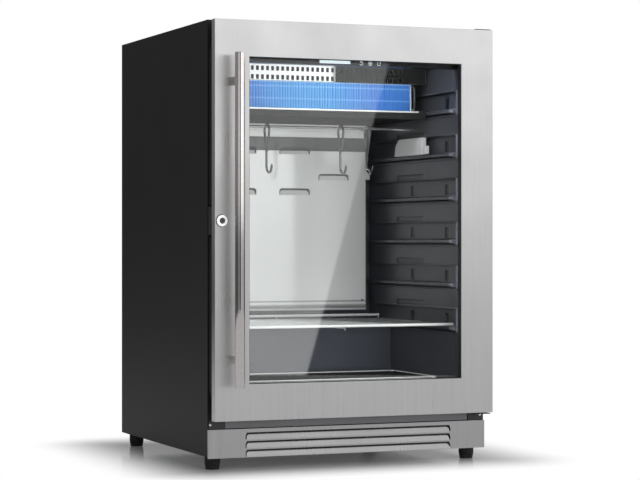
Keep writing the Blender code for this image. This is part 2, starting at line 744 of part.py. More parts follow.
def make_bottom_rail(finishes):
    """The folded rail across the front, which the door's seal closes on at the bottom."""
    half = HALF_WIDTH - FLANGE_WIDTH - FIT
    rail = box("bottom_front_rail", (-half, half), (BODY_FRONT_Y, BODY_FRONT_Y + RAIL_DEPTH),
               (RAIL_BOTTOM, RAIL_TOP), finishes["plated_steel"])
    hollow = box("rail_hollow", (-half - OVERRUN, half + OVERRUN),
                 (BODY_FRONT_Y + SHEET, BODY_FRONT_Y + RAIL_DEPTH + OVERRUN),
                 (RAIL_BOTTOM + SHEET, RAIL_TOP - SHEET), cutter=True)
    return soften(cut(rail, hollow))


def make_back_panel(finishes):
    """The flat upper back, with a pressed field."""
    half = HALF_WIDTH - SHEET - FIT
    bottom = COVER_TOP + SLACK
    top = BODY_TOP - SHEET - FIT
    panel = box("back_panel", (-half, half), (SKIN_BACK_Y, SKIN_BACK_Y + SHEET), (bottom, top),
                finishes["plated_steel"])
    return soften(panel)


def make_machine_cover(finishes):
    """The removable lower back cover, with its air slots and the inlet's cut-out."""
    half = HALF_WIDTH - SHEET - FIT
    cover = box("machine_cover", (-half, half), (SKIN_BACK_Y, SKIN_BACK_Y + SHEET),
                (BODY_BOTTOM + SLACK, COVER_TOP), finishes["plated_steel"])
    bm = bmesh.new()
    first = COVER_SLOT_CENTRE_X - COVER_SLOT_PITCH * (COVER_SLOT_COUNT - 1) / 2
    y = (SKIN_BACK_Y - OVERRUN, BACK_Y + OVERRUN)
    for index in range(COVER_SLOT_COUNT):
        middle = first + COVER_SLOT_PITCH * index
        add_box(bm, (middle - COVER_SLOT_WIDTH / 2, middle + COVER_SLOT_WIDTH / 2), y,
                (COVER_SLOT_BOTTOM, COVER_SLOT_BOTTOM + COVER_SLOT_LENGTH))
    add_box(bm, (INLET_X - INLET_HALF_WIDTH - FIT, INLET_X + INLET_HALF_WIDTH + FIT), y,
            (INLET_Z - INLET_HALF_HEIGHT - FIT, INLET_Z + INLET_HALF_HEIGHT + FIT))
    return cut(cover, from_bmesh("cover_slots", bm, cutter=True))


def make_base_tray(finishes):
    """The base pan that carries the compressor and the feet."""
    half = HALF_WIDTH - SHEET - FIT
    y = (BODY_FRONT_Y + RAIL_DEPTH + SLACK, SKIN_BACK_Y - FIT)
    tray = box("base_tray", (-half, half), y, (BODY_BOTTOM, BODY_BOTTOM + BASE_LIP),
               finishes["plated_steel"])
    hollow = box("base_hollow", (BASE_WALL - half, half - BASE_WALL), (y[0] + BASE_WALL, y[1] - BASE_WALL),
                 (BASE_FLOOR, BODY_BOTTOM + OVERRUN + BASE_LIP), cutter=True)
    bm = bmesh.new()
    for x in (-FOOT_X, FOOT_X):
        for place in (FOOT_FRONT_Y, FOOT_BACK_Y):
            add_round(bm, (x, place, BODY_BOTTOM - OVERRUN), (x, place, BODY_BOTTOM + OVERRUN),
                      STUD_RADIUS + FIT, steps=SMALL_STEPS)
    return cut(tray, hollow, from_bmesh("foot_holes", bm, cutter=True))


def liner_side(grow):
    """The liner's side view as (y, z) points, grown outwards by a wall; the front stays open."""
    front = BODY_FRONT_Y + SHEET + FIT
    floor = LINER_FLOOR - grow
    step_y = FRONT_Y + STEP_FRONT_DEPTH + grow
    step_z = STEP_TOP - grow
    back = FRONT_Y + LINER_BACK_DEPTH + grow
    ceiling = LINER_CEILING + grow
    return [(front, floor), (step_y, floor), (step_y, step_z), (back, step_z), (back, ceiling),
            (front, ceiling)]


def make_liner(finishes):
    """The moulded inner tub, stepped at the back over the machine compartment."""
    outer_half = LINER_HALF_WIDTH + LINER_WALL
    tub = outline("liner_tub", [liner_side(LINER_WALL)], -outer_half, outer_half, "X",
                  finishes["liner_plastic"])
    inner = liner_side(0)
    inner[0] = (inner[0][0] - OVERRUN, inner[0][1])
    inner[-1] = (inner[-1][0] - OVERRUN, inner[-1][1])
    space = outline("liner_space", [inner], -LINER_HALF_WIDTH, LINER_HALF_WIDTH, "X", cutter=True)
    return cut(tub, space)


def make_foam(finishes):
    """The insulation between the liner and the outer shell."""
    half = HALF_WIDTH - SHEET - FIT
    front = BODY_FRONT_Y + SHEET + FIT
    behind_rail = BODY_FRONT_Y + RAIL_DEPTH + FIT
    machine_y = FRONT_Y + MACHINE_FRONT_DEPTH
    back = SKIN_BACK_Y - FIT
    top = BODY_TOP - SHEET - FIT
    side = [(behind_rail, FOAM_FLOOR), (machine_y, FOAM_FLOOR), (machine_y, MACHINE_TOP),
            (back, MACHINE_TOP),
            (back, top), (front, top), (front, RAIL_TOP + FIT), (behind_rail, RAIL_TOP + FIT)]
    foam = outline("insulation_foam", [side], -half, half, "X", finishes["foam"])
    space = liner_side(LINER_WALL + FIT)
    space[0] = (space[0][0] - OVERRUN, space[0][1])
    space[-1] = (space[-1][0] - OVERRUN, space[-1][1])
    inner_half = LINER_HALF_WIDTH + LINER_WALL + FIT
    return cut(foam, outline("foam_space", [space], -inner_half, inner_half, "X", cutter=True))


def pocket_floor(index):
    """Height of a rack pocket's floor, counted from the top."""
    return TOP_POCKET_FLOOR - POCKET_PITCH * index


def runner_top(index):
    """Height of the top of the runner in a rack pocket."""
    return pocket_floor(index) + RUNNER_LIFT + RUNNER_HEIGHT


def make_rack_wall(finishes, name, side):
    """One moulded side wall with six pockets, each with a runner, a notch and two dimples."""
    back_x = LINER_HALF_WIDTH - FIT
    front = FRONT_Y + RACK_FRONT_DEPTH
    back = FRONT_Y + RACK_BACK_DEPTH
    top = LINER_CEILING - FIT

    def span(low, high):
        return (low, high) if side > 0 else (-high, -low)

    step_y = FRONT_Y + STEP_FRONT_DEPTH - FIT
    step_z = STEP_TOP + FIT
    profile = [(front, LINER_FLOOR + FIT), (step_y, LINER_FLOOR + FIT), (step_y, step_z), (back, step_z),
               (back, top), (front, top)]
    x = span(RACK_FACE, back_x)
    wall = outline(name, [profile], x[0], x[1], "X", finishes["liner_plastic"])
    recess_x = RACK_FACE + POCKET_DEPTH
    opening_x = RACK_FACE - OVERRUN
    pocket_front = FRONT_Y + POCKET_FRONT_DEPTH
    pockets = []
    for index in range(POCKET_COUNT):
        low = pocket_floor(index)
        high = low + POCKET_HEIGHT
        slope = [(opening_x, pocket_front - OVERRUN * POCKET_CHAMFER / POCKET_DEPTH),
                 (recess_x, pocket_front + POCKET_CHAMFER), (recess_x, back + OVERRUN),
                 (opening_x, back + OVERRUN)]
        slope = [(side * across, along) for across, along in slope]
        pockets.append(outline(f"{name}_pocket_{index}", [slope], low, high, "Z", cutter=True))
    cut(wall, *pockets)
    notch_middle = FRONT_Y + NOTCH_DEPTH_CENTRE
    notch_y = (notch_middle - NOTCH_LENGTH / 2, notch_middle + NOTCH_LENGTH / 2)
    notches = []
    for index in range(1, POCKET_COUNT):
        high = pocket_floor(index) + POCKET_HEIGHT
        shape = rounded_rectangle(notch_y, (high - NOTCH_RISE, high + NOTCH_RISE), NOTCH_RISE)
        x = span(opening_x, recess_x)
        notches.append(outline(f"{name}_notch_{index}", [shape], x[0], x[1], "X", cutter=True))
    cut(wall, *notches)
    dimples = []
    for index in range(POCKET_COUNT):
        low = runner_top(index)
        for share in DIMPLE_PLACE_SHARES:
            y = front + RACK_LENGTH * share
            dimples.append((span(opening_x, recess_x + DIMPLE_RECESS),
                            (y - DIMPLE_WIDTH / 2, y + DIMPLE_WIDTH / 2), (low, low + DIMPLE_HEIGHT)))
    cut(wall, boxes(f"{name}_dimples", dimples, cutter=True))
    runners = []
    for index in range(POCKET_COUNT):
        high = runner_top(index)
        runners.append((span(RACK_FACE - RUNNER_REACH, recess_x + SHEET / 2),
                        (FRONT_Y + RUNNER_FRONT_DEPTH, back), (high - RUNNER_HEIGHT, high)))
    join(wall, boxes(f"{name}_runners", runners, cutter=True))
    socket_x = span(RACK_FACE - OVERRUN, RACK_FACE + RAIL_SOCKET_DEPTH)
    socket_y = FRONT_Y + HANG_RAIL_DEPTH
    socket = round_bar(f"{name}_socket", (socket_x[0], socket_y, HANG_RAIL_HEIGHT),
                       (socket_x[1], socket_y, HANG_RAIL_HEIGHT), HANG_RAIL_RADIUS + FIT,
                       steps=SMALL_STEPS, cutter=True)
    return cut(wall, socket)


def louvre_cuts(name, places, axis_y, thickness):
    """Slots with round upper corners, one for each ((x low, x high), (z low, z high), radius)."""
    return [outline(f"{name}_slot_{index}", [round_top(x, z, radius)], axis_y - thickness,
                    axis_y + thickness,
                    "Y", cutter=True) for index, (x, z, radius) in enumerate(places)]


def louvre_tabs(name, places, slit, lean, y, sheet):
    """The tongues left by the slots, bent back along their lower edge."""
    tabs = []
    for index, (x, z, radius) in enumerate(places):
        shape = round_top((x[0] + slit, x[1] - slit), (z[0] - sheet, z[1] - slit), radius)
        tab = outline(f"{name}_tab_{index}", [shape], y, y + sheet, "Y", cutter=True)
        height = z[1] - slit - z[0]
        tilt = math.atan2(lean, height)
        foot = Matrix.Translation((0, y + sheet / 2, z[0]))
        tab.data.transform(foot @ Matrix.Rotation(-tilt, 4, "X") @ foot.inverted())
        tabs.append(tab)
    return tabs


def make_kick_plate(finishes):
    """The folded steel plinth with three pressed louvres."""
    front = BODY_FRONT_Y - KICK_PROUD
    back = BODY_FRONT_Y - FIT
    plate = box("kick_plate", (-HALF_WIDTH, HALF_WIDTH), (front, back), (KICK_BOTTOM, KICK_TOP),
                finishes["brushed_steel"])
    hollow = box("kick_hollow", (SHEET - HALF_WIDTH, HALF_WIDTH - SHEET), (front + SHEET, back + OVERRUN),
                 (KICK_BOTTOM + SHEET, KICK_TOP - SHEET), cutter=True)
    places = []
    for index in range(LOUVRE_COUNT):
        high = KICK_TOP - LOUVRE_TOP_MARGIN - LOUVRE_PITCH * index
        places.append(((-LOUVRE_LENGTH / 2, LOUVRE_LENGTH / 2), (high - LOUVRE_HEIGHT, high), LOUVRE_CORNER))
    cut(plate, hollow, *louvre_cuts("kick", places, front, SHEET + SHEET / 2))
    return join(plate, *louvre_tabs("kick", places, LOUVRE_SLIT, LOUVRE_LEAN, front, SHEET))


def make_foot(finishes, name, x, y):
    """A levelling foot with a grooved pad and its threaded stud, on its own axis."""
    top = BODY_BOTTOM - FIT
    groove_top = FOOT_PAD_HEIGHT + FOOT_GROOVE_HEIGHT
    lip = FOOT_RADIUS - FOOT_GROOVE
    base = FOOT_RADIUS - FOOT_PAD_TAPER
    profile = [(0, top + STUD_LENGTH), (STUD_RADIUS, top + STUD_LENGTH), (STUD_RADIUS, top),
               (FOOT_RADIUS, top),
               (FOOT_RADIUS, groove_top), (lip, groove_top), (lip, FOOT_PAD_HEIGHT),
               (FOOT_RADIUS, FOOT_PAD_HEIGHT), (base, 0), (0, 0)]
    return turned(name, profile, (x, y, 0), (0, 0, 1), finishes["black_plastic"], MIDDLE_STEPS)


# Hinges


def hinge_pin(name, low, high):
    """A pin along the hinge axis, to be joined to its bracket."""
    return round_bar(name, (HINGE_X, HINGE_Y, low), (HINGE_X, HINGE_Y, high), HINGE_PIN_RADIUS,
                     steps=SMALL_STEPS, cutter=True)


def bracket_span(side):
    """The low and high x of a hinge bracket."""
    centre = side * (HALF_WIDTH - BRACKET_SIDE_GAP - HINGE_PLATE_HALF_WIDTH)
    return (centre - HINGE_PLATE_HALF_WIDTH, centre + HINGE_PLATE_HALF_WIDTH)


def make_lower_bracket(finishes):
    """The plate screwed to the front under the door, with its tongue and the door's lower pin."""
    x = bracket_span(1)
    top = DOOR_BOTTOM - SLACK - SLACK
    back = BODY_FRONT_Y - FIT
    flange = box("lower_hinge_bracket", x, (back - HINGE_PLATE, back), (top - LOWER_FLANGE_HEIGHT, top),
                 finishes["black_steel"])
    tongue = box("lower_tongue", x, (HINGE_Y - HINGE_PLATE_NOSE, back - HINGE_PLATE / 2),
                 (top - HINGE_PLATE, top), cutter=True)
    return join(flange, tongue,
                hinge_pin("lower_pin", top - HINGE_PLATE / 2, DOOR_BOTTOM + HINGE_PIN_LENGTH))


def make_filler_bracket(finishes):
    """The plain plate that closes the corner on the side without hinges."""
    top = DOOR_BOTTOM - SLACK - SLACK
    back = BODY_FRONT_Y - FIT
    return box("left_filler_bracket", bracket_span(-1), (back - HINGE_PLATE, back),
               (top - LOWER_FLANGE_HEIGHT, top), finishes["black_steel"])


def make_upper_bracket(finishes):
    """The plate over the door, with the door's upper pin."""
    x = bracket_span(1)
    back = BODY_FRONT_Y - FIT
    flange = box("upper_hinge_bracket", x, (back - HINGE_PLATE, back),
                 (BODY_TOP - UPPER_FLANGE_HEIGHT, BODY_TOP),
                 finishes["black_steel"])
    tongue = box("upper_tongue", x, (HINGE_Y - HINGE_PLATE_NOSE, back - HINGE_PLATE / 2),
                 (BODY_TOP - HINGE_PLATE, BODY_TOP), cutter=True)
    return join(flange, tongue,
                hinge_pin("upper_pin", DOOR_TOP - HINGE_PIN_LENGTH, BODY_TOP - HINGE_PLATE / 2))


def make_strike(finishes):
    """The folded strike on the cabinet's edge, whose lip the lock's cam turns behind."""
    outer = SHEET + FIT - HALF_WIDTH
    back = BODY_FRONT_Y - FIT
    lip_y = FRONT_Y + DOOR_STEEL_DEPTH + FIT
    z = (LOCK_HEIGHT - STRIKE_HEIGHT / 2, LOCK_HEIGHT + STRIKE_HEIGHT / 2)
    side = [(outer, back), (outer, lip_y), (outer + STRIKE_REACH, lip_y),
            (outer + STRIKE_REACH, lip_y + STRIKE_SHEET),
            (outer + STRIKE_SHEET, lip_y + STRIKE_SHEET), (outer + STRIKE_SHEET, back - STRIKE_SHEET),
            (outer + STRIKE_FOOT, back - STRIKE_SHEET), (outer + STRIKE_FOOT, back)]
    return outline("lock_strike", [side], z[0], z[1], "Z", finishes["bright_steel"])


# The door


def door_ring(name, inset, hole_inset, low, high, material=None, cutter=False):
    """A flat rectangular ring in the door's plane, from its outer and inner insets."""
    loops = [rectangle(HALF_WIDTH - inset, DOOR_BOTTOM + inset, DOOR_TOP - inset)]
    if hole_inset is not None:
        loops.append(rectangle(HALF_WIDTH - hole_inset, DOOR_BOTTOM + hole_inset, DOOR_TOP - hole_inset))
    return outline(name, loops, FRONT_Y + low, FRONT_Y + high, "Y", material, cutter)


def hinge_bores(name, radius):
    """Cutters along the hinge axis at the door's two ends."""
    bm = bmesh.new()
    for end in (DOOR_BOTTOM, DOOR_TOP):
        add_round(bm, (HINGE_X, HINGE_Y, end - HINGE_PIN_LENGTH), (HINGE_X, HINGE_Y, end + HINGE_PIN_LENGTH),
                  radius, steps=SMALL_STEPS)
    return from_bmesh(name, bm, cutter=True)


def lock_bore(name, radius):
    """A cutter along the lock's axis."""
    return round_bar(name, (LOCK_X, FRONT_Y - OVERRUN, LOCK_HEIGHT),
                     (LOCK_X, FRONT_Y + OVERRUN, LOCK_HEIGHT),
                     radius, steps=MIDDLE_STEPS, cutter=True)


def make_door_skin(finishes):
    """The brushed steel frame, folded back along its outer edge."""
    skin = door_ring("door_skin", 0, FRAME_WIDTH, 0, DOOR_STEEL_DEPTH, finishes["brushed_steel"])
    fold = door_ring("skin_fold", DOOR_STEEL_SHEET, None, DOOR_STEEL_SHEET, DOOR_STEEL_DEPTH + OVERRUN,
                     cutter=True)
    bores = hinge_bores("skin_bores", HINGE_PIN_RADIUS + FIT)
    lock = lock_bore("skin_lock_bore", LOCK_BODY_RADIUS + FIT)
    return soften(cut(skin, fold, bores, lock))


def make_inner_frame(finishes):
    """The black moulded frame that fills the steel edge and holds the panes and the seal."""
    edge = DOOR_STEEL_SHEET + FIT
    glass_edge = FRAME_WIDTH - GLASS_OVERLAP - SLACK
    lip_low = INNER_GLASS_Y + GLASS_THICKNESS + FIT - FRONT_Y
    frame = door_ring("door_inner_frame", edge, glass_edge, edge, DOOR_STEEL_DEPTH - FIT,
                      finishes["black_plastic"])
    rear = door_ring("inner_rear", INNER_FRAME_INSET, glass_edge, DOOR_STEEL_DEPTH - SLACK,
                     INNER_FRAME_DEPTH,
                     cutter=True)
    lip = door_ring("inner_lip", glass_edge - SLACK, FRAME_WIDTH + INNER_FRAME_LIP, lip_low,
                    INNER_FRAME_DEPTH,
                    cutter=True)
    join(frame, rear, lip)
    groove = door_ring("seal_groove", GASKET_INSET + GASKET_WIDTH / 2 - GASKET_GROOVE - FIT,
                       GASKET_INSET + GASKET_WIDTH / 2 + GASKET_GROOVE + FIT,
                       INNER_FRAME_DEPTH - GASKET_GROOVE - FIT, INNER_FRAME_DEPTH + OVERRUN, cutter=True)
    bores = hinge_bores("frame_bores", HINGE_PIN_RADIUS + FIT)
    lock = lock_bore("frame_lock_bore", LOCK_BODY_RADIUS + FIT)
    cam_space = round_bar("cam_space", (LOCK_X, FRONT_Y + DOOR_STEEL_DEPTH - FIT, LOCK_HEIGHT),
                          (LOCK_X, CAM_FRONT_Y + CAM_THICKNESS + SLACK,
                           LOCK_HEIGHT), CAM_LENGTH + SLACK + SLACK,
                          cutter=True)
    return cut(frame, groove, bores, lock, cam_space)


def make_gasket(finishes):
    """The magnetic seal: a hollow-looking bellows on a foot that presses into the frame's groove."""
    middle = GASKET_INSET + GASKET_WIDTH / 2
    half = GASKET_WIDTH / 2
    low = INNER_FRAME_DEPTH + FIT
    high = DOOR_DEPTH - FIT
    seal = door_ring("door_gasket", GASKET_INSET, GASKET_INSET + GASKET_WIDTH, high - SLACK - SLACK, high,
                     finishes["gasket_rubber"])
    neck = door_ring("seal_neck", middle - half + SLACK + SLACK, middle + half - SLACK - SLACK, low,
                     high - SLACK, cutter=True)
    foot = door_ring("seal_foot", middle - GASKET_GROOVE, middle + GASKET_GROOVE,
                     INNER_FRAME_DEPTH - GASKET_GROOVE, low + SLACK, cutter=True)
    return join(seal, neck, foot)


def make_panes(finishes):
    """The double glazing: two panes, their spacer, and the black bead in front."""
    half_width = OPENING_HALF_WIDTH + GLASS_OVERLAP
    half_height = OPENING_HALF_HEIGHT + GLASS_OVERLAP
    z = (DOOR_MIDDLE - half_height, DOOR_MIDDLE + half_height)
    box("outer_glass", (-half_width, half_width), (GLASS_FRONT_Y, GLASS_FRONT_Y + GLASS_THICKNESS), z,
        finishes["glass"])
    box("inner_glass", (-half_width, half_width), (INNER_GLASS_Y, INNER_GLASS_Y + GLASS_THICKNESS), z,
        finishes["glass"])
    edge = FRAME_WIDTH - GLASS_OVERLAP + SLACK
    spacer_low = GLASS_FRONT_Y + GLASS_THICKNESS + FIT - FRONT_Y
    door_ring("glass_spacer", edge, edge + SPACER_WIDTH, spacer_low, spacer_low + GLASS_GAP,
              finishes["black_plastic"])
    bead = door_ring("glazing_bead", FRAME_WIDTH - BEAD_FLANGE, FRAME_WIDTH + BEAD_LIP,
                     DOOR_STEEL_SHEET + FIT, DOOR_STEEL_SHEET + GLASS_RECESS, finishes["gasket_rubber"])
    return bead


def make_handle(finishes):
    """The bar handle and its two posts, each with a saddled end that fits the bar."""
    low = DOOR_MIDDLE - HANDLE_LENGTH / 2
    high = DOOR_MIDDLE + HANDLE_LENGTH / 2
    ease = SLACK
    profile = [(0, high), (HANDLE_RADIUS - ease, high), (HANDLE_RADIUS, high - ease),
               (HANDLE_RADIUS, low + ease),
               (HANDLE_RADIUS - ease, low), (0, low)]
    turned("handle_bar", profile, (HANDLE_X, HANDLE_Y, 0), (0, 0, 1), finishes["bright_steel"])
    for name, side in (("handle_post_upper", 1), ("handle_post_lower", -1)):
        z = DOOR_MIDDLE + side * POST_SPACING / 2
        post = round_bar(name, (HANDLE_X, FRONT_Y - FIT, z), (HANDLE_X, HANDLE_Y, z), POST_RADIUS,
                         finishes["bright_steel"])
        saddle = round_bar(f"{name}_saddle", (HANDLE_X, HANDLE_Y, low), (HANDLE_X, HANDLE_Y, high),
                           HANDLE_RADIUS + FIT, cutter=True)
        cut(post, saddle)


def make_lock(finishes):
    """The lock: a fixed escutcheon and body in the door, and a plug that turns its cam."""
    body_end = DOOR_STEEL_DEPTH - FIT
    plug_bore = PLUG_RADIUS + FIT
    proud = ESCUTCHEON_PROUD
    ease = SLACK / 2
    profile = [(plug_bore, proud), (ESCUTCHEON_RADIUS - ease, proud), (ESCUTCHEON_RADIUS, proud - ease),
               (ESCUTCHEON_RADIUS, FIT), (LOCK_BODY_RADIUS, FIT), (LOCK_BODY_RADIUS, -body_end),
               (plug_bore, -body_end), (plug_bore, proud)]
    turned("lock_body", profile, (LOCK_X, FRONT_Y, LOCK_HEIGHT), (0, -1, 0), finishes["bright_steel"],
           MIDDLE_STEPS)
    front = FRONT_Y - proud + FIT
    back = CAM_FRONT_Y + CAM_THICKNESS
    centre = (LOCK_X, FRONT_Y, LOCK_HEIGHT)
    plug = round_bar("lock_plug", (LOCK_X, front, LOCK_HEIGHT), (LOCK_X, back, LOCK_HEIGHT), PLUG_RADIUS,
                     finishes["plated_steel"], steps=MIDDLE_STEPS, origin=centre)
    keyway = box("keyway", (LOCK_X - KEYWAY_WIDTH / 2, LOCK_X + KEYWAY_WIDTH / 2),
                 (front - OVERRUN, front + SHEET),
                 (LOCK_HEIGHT - KEYWAY_LENGTH / 2, LOCK_HEIGHT + KEYWAY_LENGTH / 2), cutter=True)
    cut(plug, keyway)
    cam_gap = box("cam_side", (LOCK_X - CAM_WIDTH / 2, LOCK_X + CAM_WIDTH / 2), (CAM_FRONT_Y, back),
                  (LOCK_HEIGHT - CAM_LENGTH, LOCK_HEIGHT), cutter=True)
    join(plug, cam_gap)
    return plug


# Inside the cavity


def make_fascia(finishes):
    """The control fascia under the ceiling, its display, and the light bar behind it."""
    front = FRONT_Y + FASCIA_DEPTH
    top = LINER_CEILING - FIT
    back = front + FASCIA_THICKNESS
    fascia = box("control_fascia", (-FASCIA_HALF_WIDTH, FASCIA_HALF_WIDTH), (front, back),
                 (FASCIA_BOTTOM, top),
                 finishes["black_plastic"])
    half = DISPLAY_WIDTH / 2
    x = (DISPLAY_CENTRE_X - half, DISPLAY_CENTRE_X + half)
    z = (DISPLAY_BOTTOM, DISPLAY_BOTTOM + DISPLAY_HEIGHT)
    recess = box("display_recess", (x[0] - FIT, x[1] + FIT), (front - OVERRUN, front + DISPLAY_THICKNESS),
                 (z[0] - FIT, z[1] + FIT), cutter=True)
    soften(cut(fascia, recess), EDGE)
    box("display_window", x, (front, front + DISPLAY_THICKNESS - FIT), z, finishes["display"])
    light_y = (back + LIGHT_SETBACK, back + LIGHT_SETBACK + LIGHT_WIDTH)
    light = box("light_bar", (-LIGHT_HALF_LENGTH, LIGHT_HALF_LENGTH), light_y, (top - LIGHT_HEIGHT, top),
                finishes["white_plastic"])
    return soften(light, SLACK)


def fin_outline(left, right, front, back, fin_depth, count):
    """The plan of a fin pack: thin fins standing forward of a solid core."""
    pitch = (right - left) / count
    fin = pitch * FIN_THICKNESS_SHARE
    root = front + fin_depth
    points = [(left, root)]
    for index in range(count):
        edge = left + pitch * index + (pitch - fin) / 2
        points += [(edge, root), (edge, front), (edge + fin, front), (edge + fin, root)]
    points += [(right, root), (right, back), (left, back)]
    return points


def make_evaporator(finishes):
    """The blue fin pack with its end plates and return bends."""
    front = FRONT_Y + EVAPORATOR_FRONT_DEPTH
    back = front + EVAPORATOR_THICKNESS
    plan = fin_outline(-EVAPORATOR_HALF_LENGTH, EVAPORATOR_HALF_LENGTH, front, back, FIN_DEPTH, FIN_COUNT)
    outline("evaporator_fins", [plan], EVAPORATOR_BOTTOM, EVAPORATOR_TOP, "Z", finishes["blue_fins"])
    inner = EVAPORATOR_HALF_LENGTH + FIT
    outer = inner + END_PLATE
    y = (front - END_PLATE_MARGIN + SLACK, back + END_PLATE_MARGIN)
    z = (PAN_BOTTOM + PAN_SHEET + FIT, EVAPORATOR_TOP)
    for name, side in (("evaporator_end_left", -1), ("evaporator_end_right", 1)):
        ends = sorted((side * inner, side * outer))
        box(name, ends, y, z, finishes["aluminium"])
    low = EVAPORATOR_BOTTOM + BEND_MARGIN
    high = EVAPORATOR_TOP - BEND_MARGIN
    start = outer + FIT
    y = front + BEND_SETBACK
    turn = (BEND_REACH - TUBE_RADIUS) / 2
    inside = start + turn
    path = [(start, y, high)]
    path += [(across, y, up) for across, up in arc((inside, high - turn), turn, 90, 0, 5)]
    path += [(across, y, up) for across, up in arc((inside, low + turn), turn, 0, -90, 5)]
    path.append((start, y, low))
    tube("return_bend", path, TUBE_RADIUS, finishes["aluminium"])


def make_drip_pan(finishes):
    """The steel pan under the evaporator, hung by its side flanges on the top runners."""
    y = (FRONT_Y + PAN_FRONT_DEPTH, FRONT_Y + PAN_BACK_DEPTH)
    rim = runner_top(0) + FIT + PAN_SHEET
    pan = box("evaporator_drip_pan", (-PAN_HALF_WIDTH, PAN_HALF_WIDTH), y, (PAN_BOTTOM, rim),
              finishes["bright_steel"])
    hollow = box("pan_hollow", (PAN_SHEET - PAN_HALF_WIDTH, PAN_HALF_WIDTH - PAN_SHEET),
                 (y[0] + PAN_SHEET, y[1] - PAN_SHEET), (PAN_BOTTOM + PAN_SHEET, rim + OVERRUN), cutter=True)
    flanges = boxes("pan_flanges",
                    [(sorted((side * (PAN_HALF_WIDTH - PAN_SHEET / 2), side * PAN_LEDGE_REACH)),
                                     y, (rim - PAN_SHEET, rim)) for side in (-1, 1)], cutter=True)
    return join(cut(pan, hollow), flanges)


def make_grille(finishes):
    """The air outlet above the evaporator, with two rows of square holes."""
    y = FRONT_Y + GRILLE_DEPTH
    bottom = EVAPORATOR_TOP + FIT
    height = LINER_CEILING - FIT - bottom
    plate = box("vent_grille", (-GRILLE_HALF_WIDTH, GRILLE_HALF_WIDTH), (y, y + GRILLE_SHEET),
                (bottom, bottom + height), finishes["grey_plastic"])
    bm = bmesh.new()
    first = -GRILLE_PITCH * (GRILLE_COLUMNS - 1) / 2
    for index in range(GRILLE_COLUMNS):
        middle = first + GRILLE_PITCH * index
        x = (middle - GRILLE_HOLE_WIDTH / 2, middle + GRILLE_HOLE_WIDTH / 2)
        for low, high in (GRILLE_LOWER_SHARES, GRILLE_UPPER_SHARES):
            add_box(bm, x, (y - OVERRUN, y + OVERRUN), (bottom + height * low, bottom + height * high))
    return cut(plate, from_bmesh("grille_holes", bm, cutter=True))


def make_axial_fan(finishes, name, x, y, z, half, thickness, hub):
    """A square fan frame with struts behind, and a rotor with pitched blades on the Y axis."""
    frame = box(f"{name}_frame", (x - half, x + half), (y, y + thickness), (z - half, z + half),
                finishes["black_plastic"])
    bore_radius = half - FAN_WALL
    bore = round_bar(f"{name}_bore", (x, y - OVERRUN, z), (x, y + thickness + OVERRUN, z), bore_radius,
                     steps=MIDDLE_STEPS, cutter=True)
    cut(frame, bore)
    back = y + thickness
    seat_y = (back - STRUT_THICKNESS, back - EDGE / 2)
    strut_y = (seat_y[0] + EDGE, back - EDGE)
    struts = []
    for index in range(STRUT_COUNT):
        strut = box(f"{name}_strut_{index}", (-STRUT_WIDTH / 2, STRUT_WIDTH / 2), strut_y,
                    (0, half - FAN_WALL / 2), origin=(0, 0, 0), cutter=True)
        turn = Matrix.Rotation(2 * math.pi * index / STRUT_COUNT, 4, "Y")
        strut.data.transform(Matrix.Translation((x, 0, z)) @ turn)
        struts.append(strut)
    seat = round_bar(f"{name}_seat", (x, seat_y[0], z), (x, seat_y[1], z), hub,
                     steps=SMALL_STEPS, cutter=True)
    join(frame, seat, *struts)
    spindle_bore = round_bar(f"{name}_spindle_bore", (x, seat_y[0] - OVERRUN, z),
                             (x, seat_y[1] + OVERRUN, z), SPINDLE_RADIUS + FIT, steps=SMALL_STEPS,
                             cutter=True)
    cut(frame, spindle_bore)
    hub_back = seat_y[0] - SLACK
    hub_front = y + SLACK
    centre = (x, (hub_front + hub_back) / 2, z)
    rotor = round_bar(f"{name}_rotor", (x, hub_front, z), (x, hub_back, z), hub, finishes["black_plastic"],
                      steps=MIDDLE_STEPS, origin=centre)
    spindle = round_bar(f"{name}_spindle", (x, hub_back - SLACK, z), (x, strut_y[1], z), SPINDLE_RADIUS,
                        steps=SMALL_STEPS, cutter=True)
    blade_length = bore_radius - FAN_CLEARANCE
    chord = (hub_back - hub_front) * BLADE_CHORD_SHARE / math.cos(math.radians(BLADE_PITCH_DEGREES))
    blades = []
    for index in range(BLADE_COUNT):
        blade = box(f"{name}_blade_{index}", (-BLADE_THICKNESS / 2, BLADE_THICKNESS / 2),
                    (-chord / 2, chord / 2),
                    (hub - FAN_WALL, blade_length), origin=(0, 0, 0), cutter=True)
        pitch = Matrix.Rotation(math.radians(BLADE_PITCH_DEGREES), 4, "Z")
        turn = Matrix.Rotation(2 * math.pi * index / BLADE_COUNT, 4, "Y")
        blade.data.transform(Matrix.Translation(centre) @ turn @ pitch)
        blades.append(blade)
    join(rotor, spindle, *blades)
    return frame, rotor


def make_bulkhead(finishes):
    """The plate across the evaporator chamber that carries the fan."""
    y = FRONT_Y + BULKHEAD_DEPTH
    z = (PAN_BOTTOM + PAN_SHEET + FIT, LINER_CEILING - FIT)
    half = PAN_HALF_WIDTH - PAN_SHEET - FIT
    plate = box("fan_bulkhead", (-half, half), (y, y + BULKHEAD_SHEET), z, finishes["plated_steel"])
    hole = round_bar("bulkhead_hole", (0, y - OVERRUN, FAN_CENTRE_Z), (0, y + OVERRUN, FAN_CENTRE_Z),
                     FAN_HALF_SIZE - FAN_WALL, cutter=True)
    return cut(plate, hole)


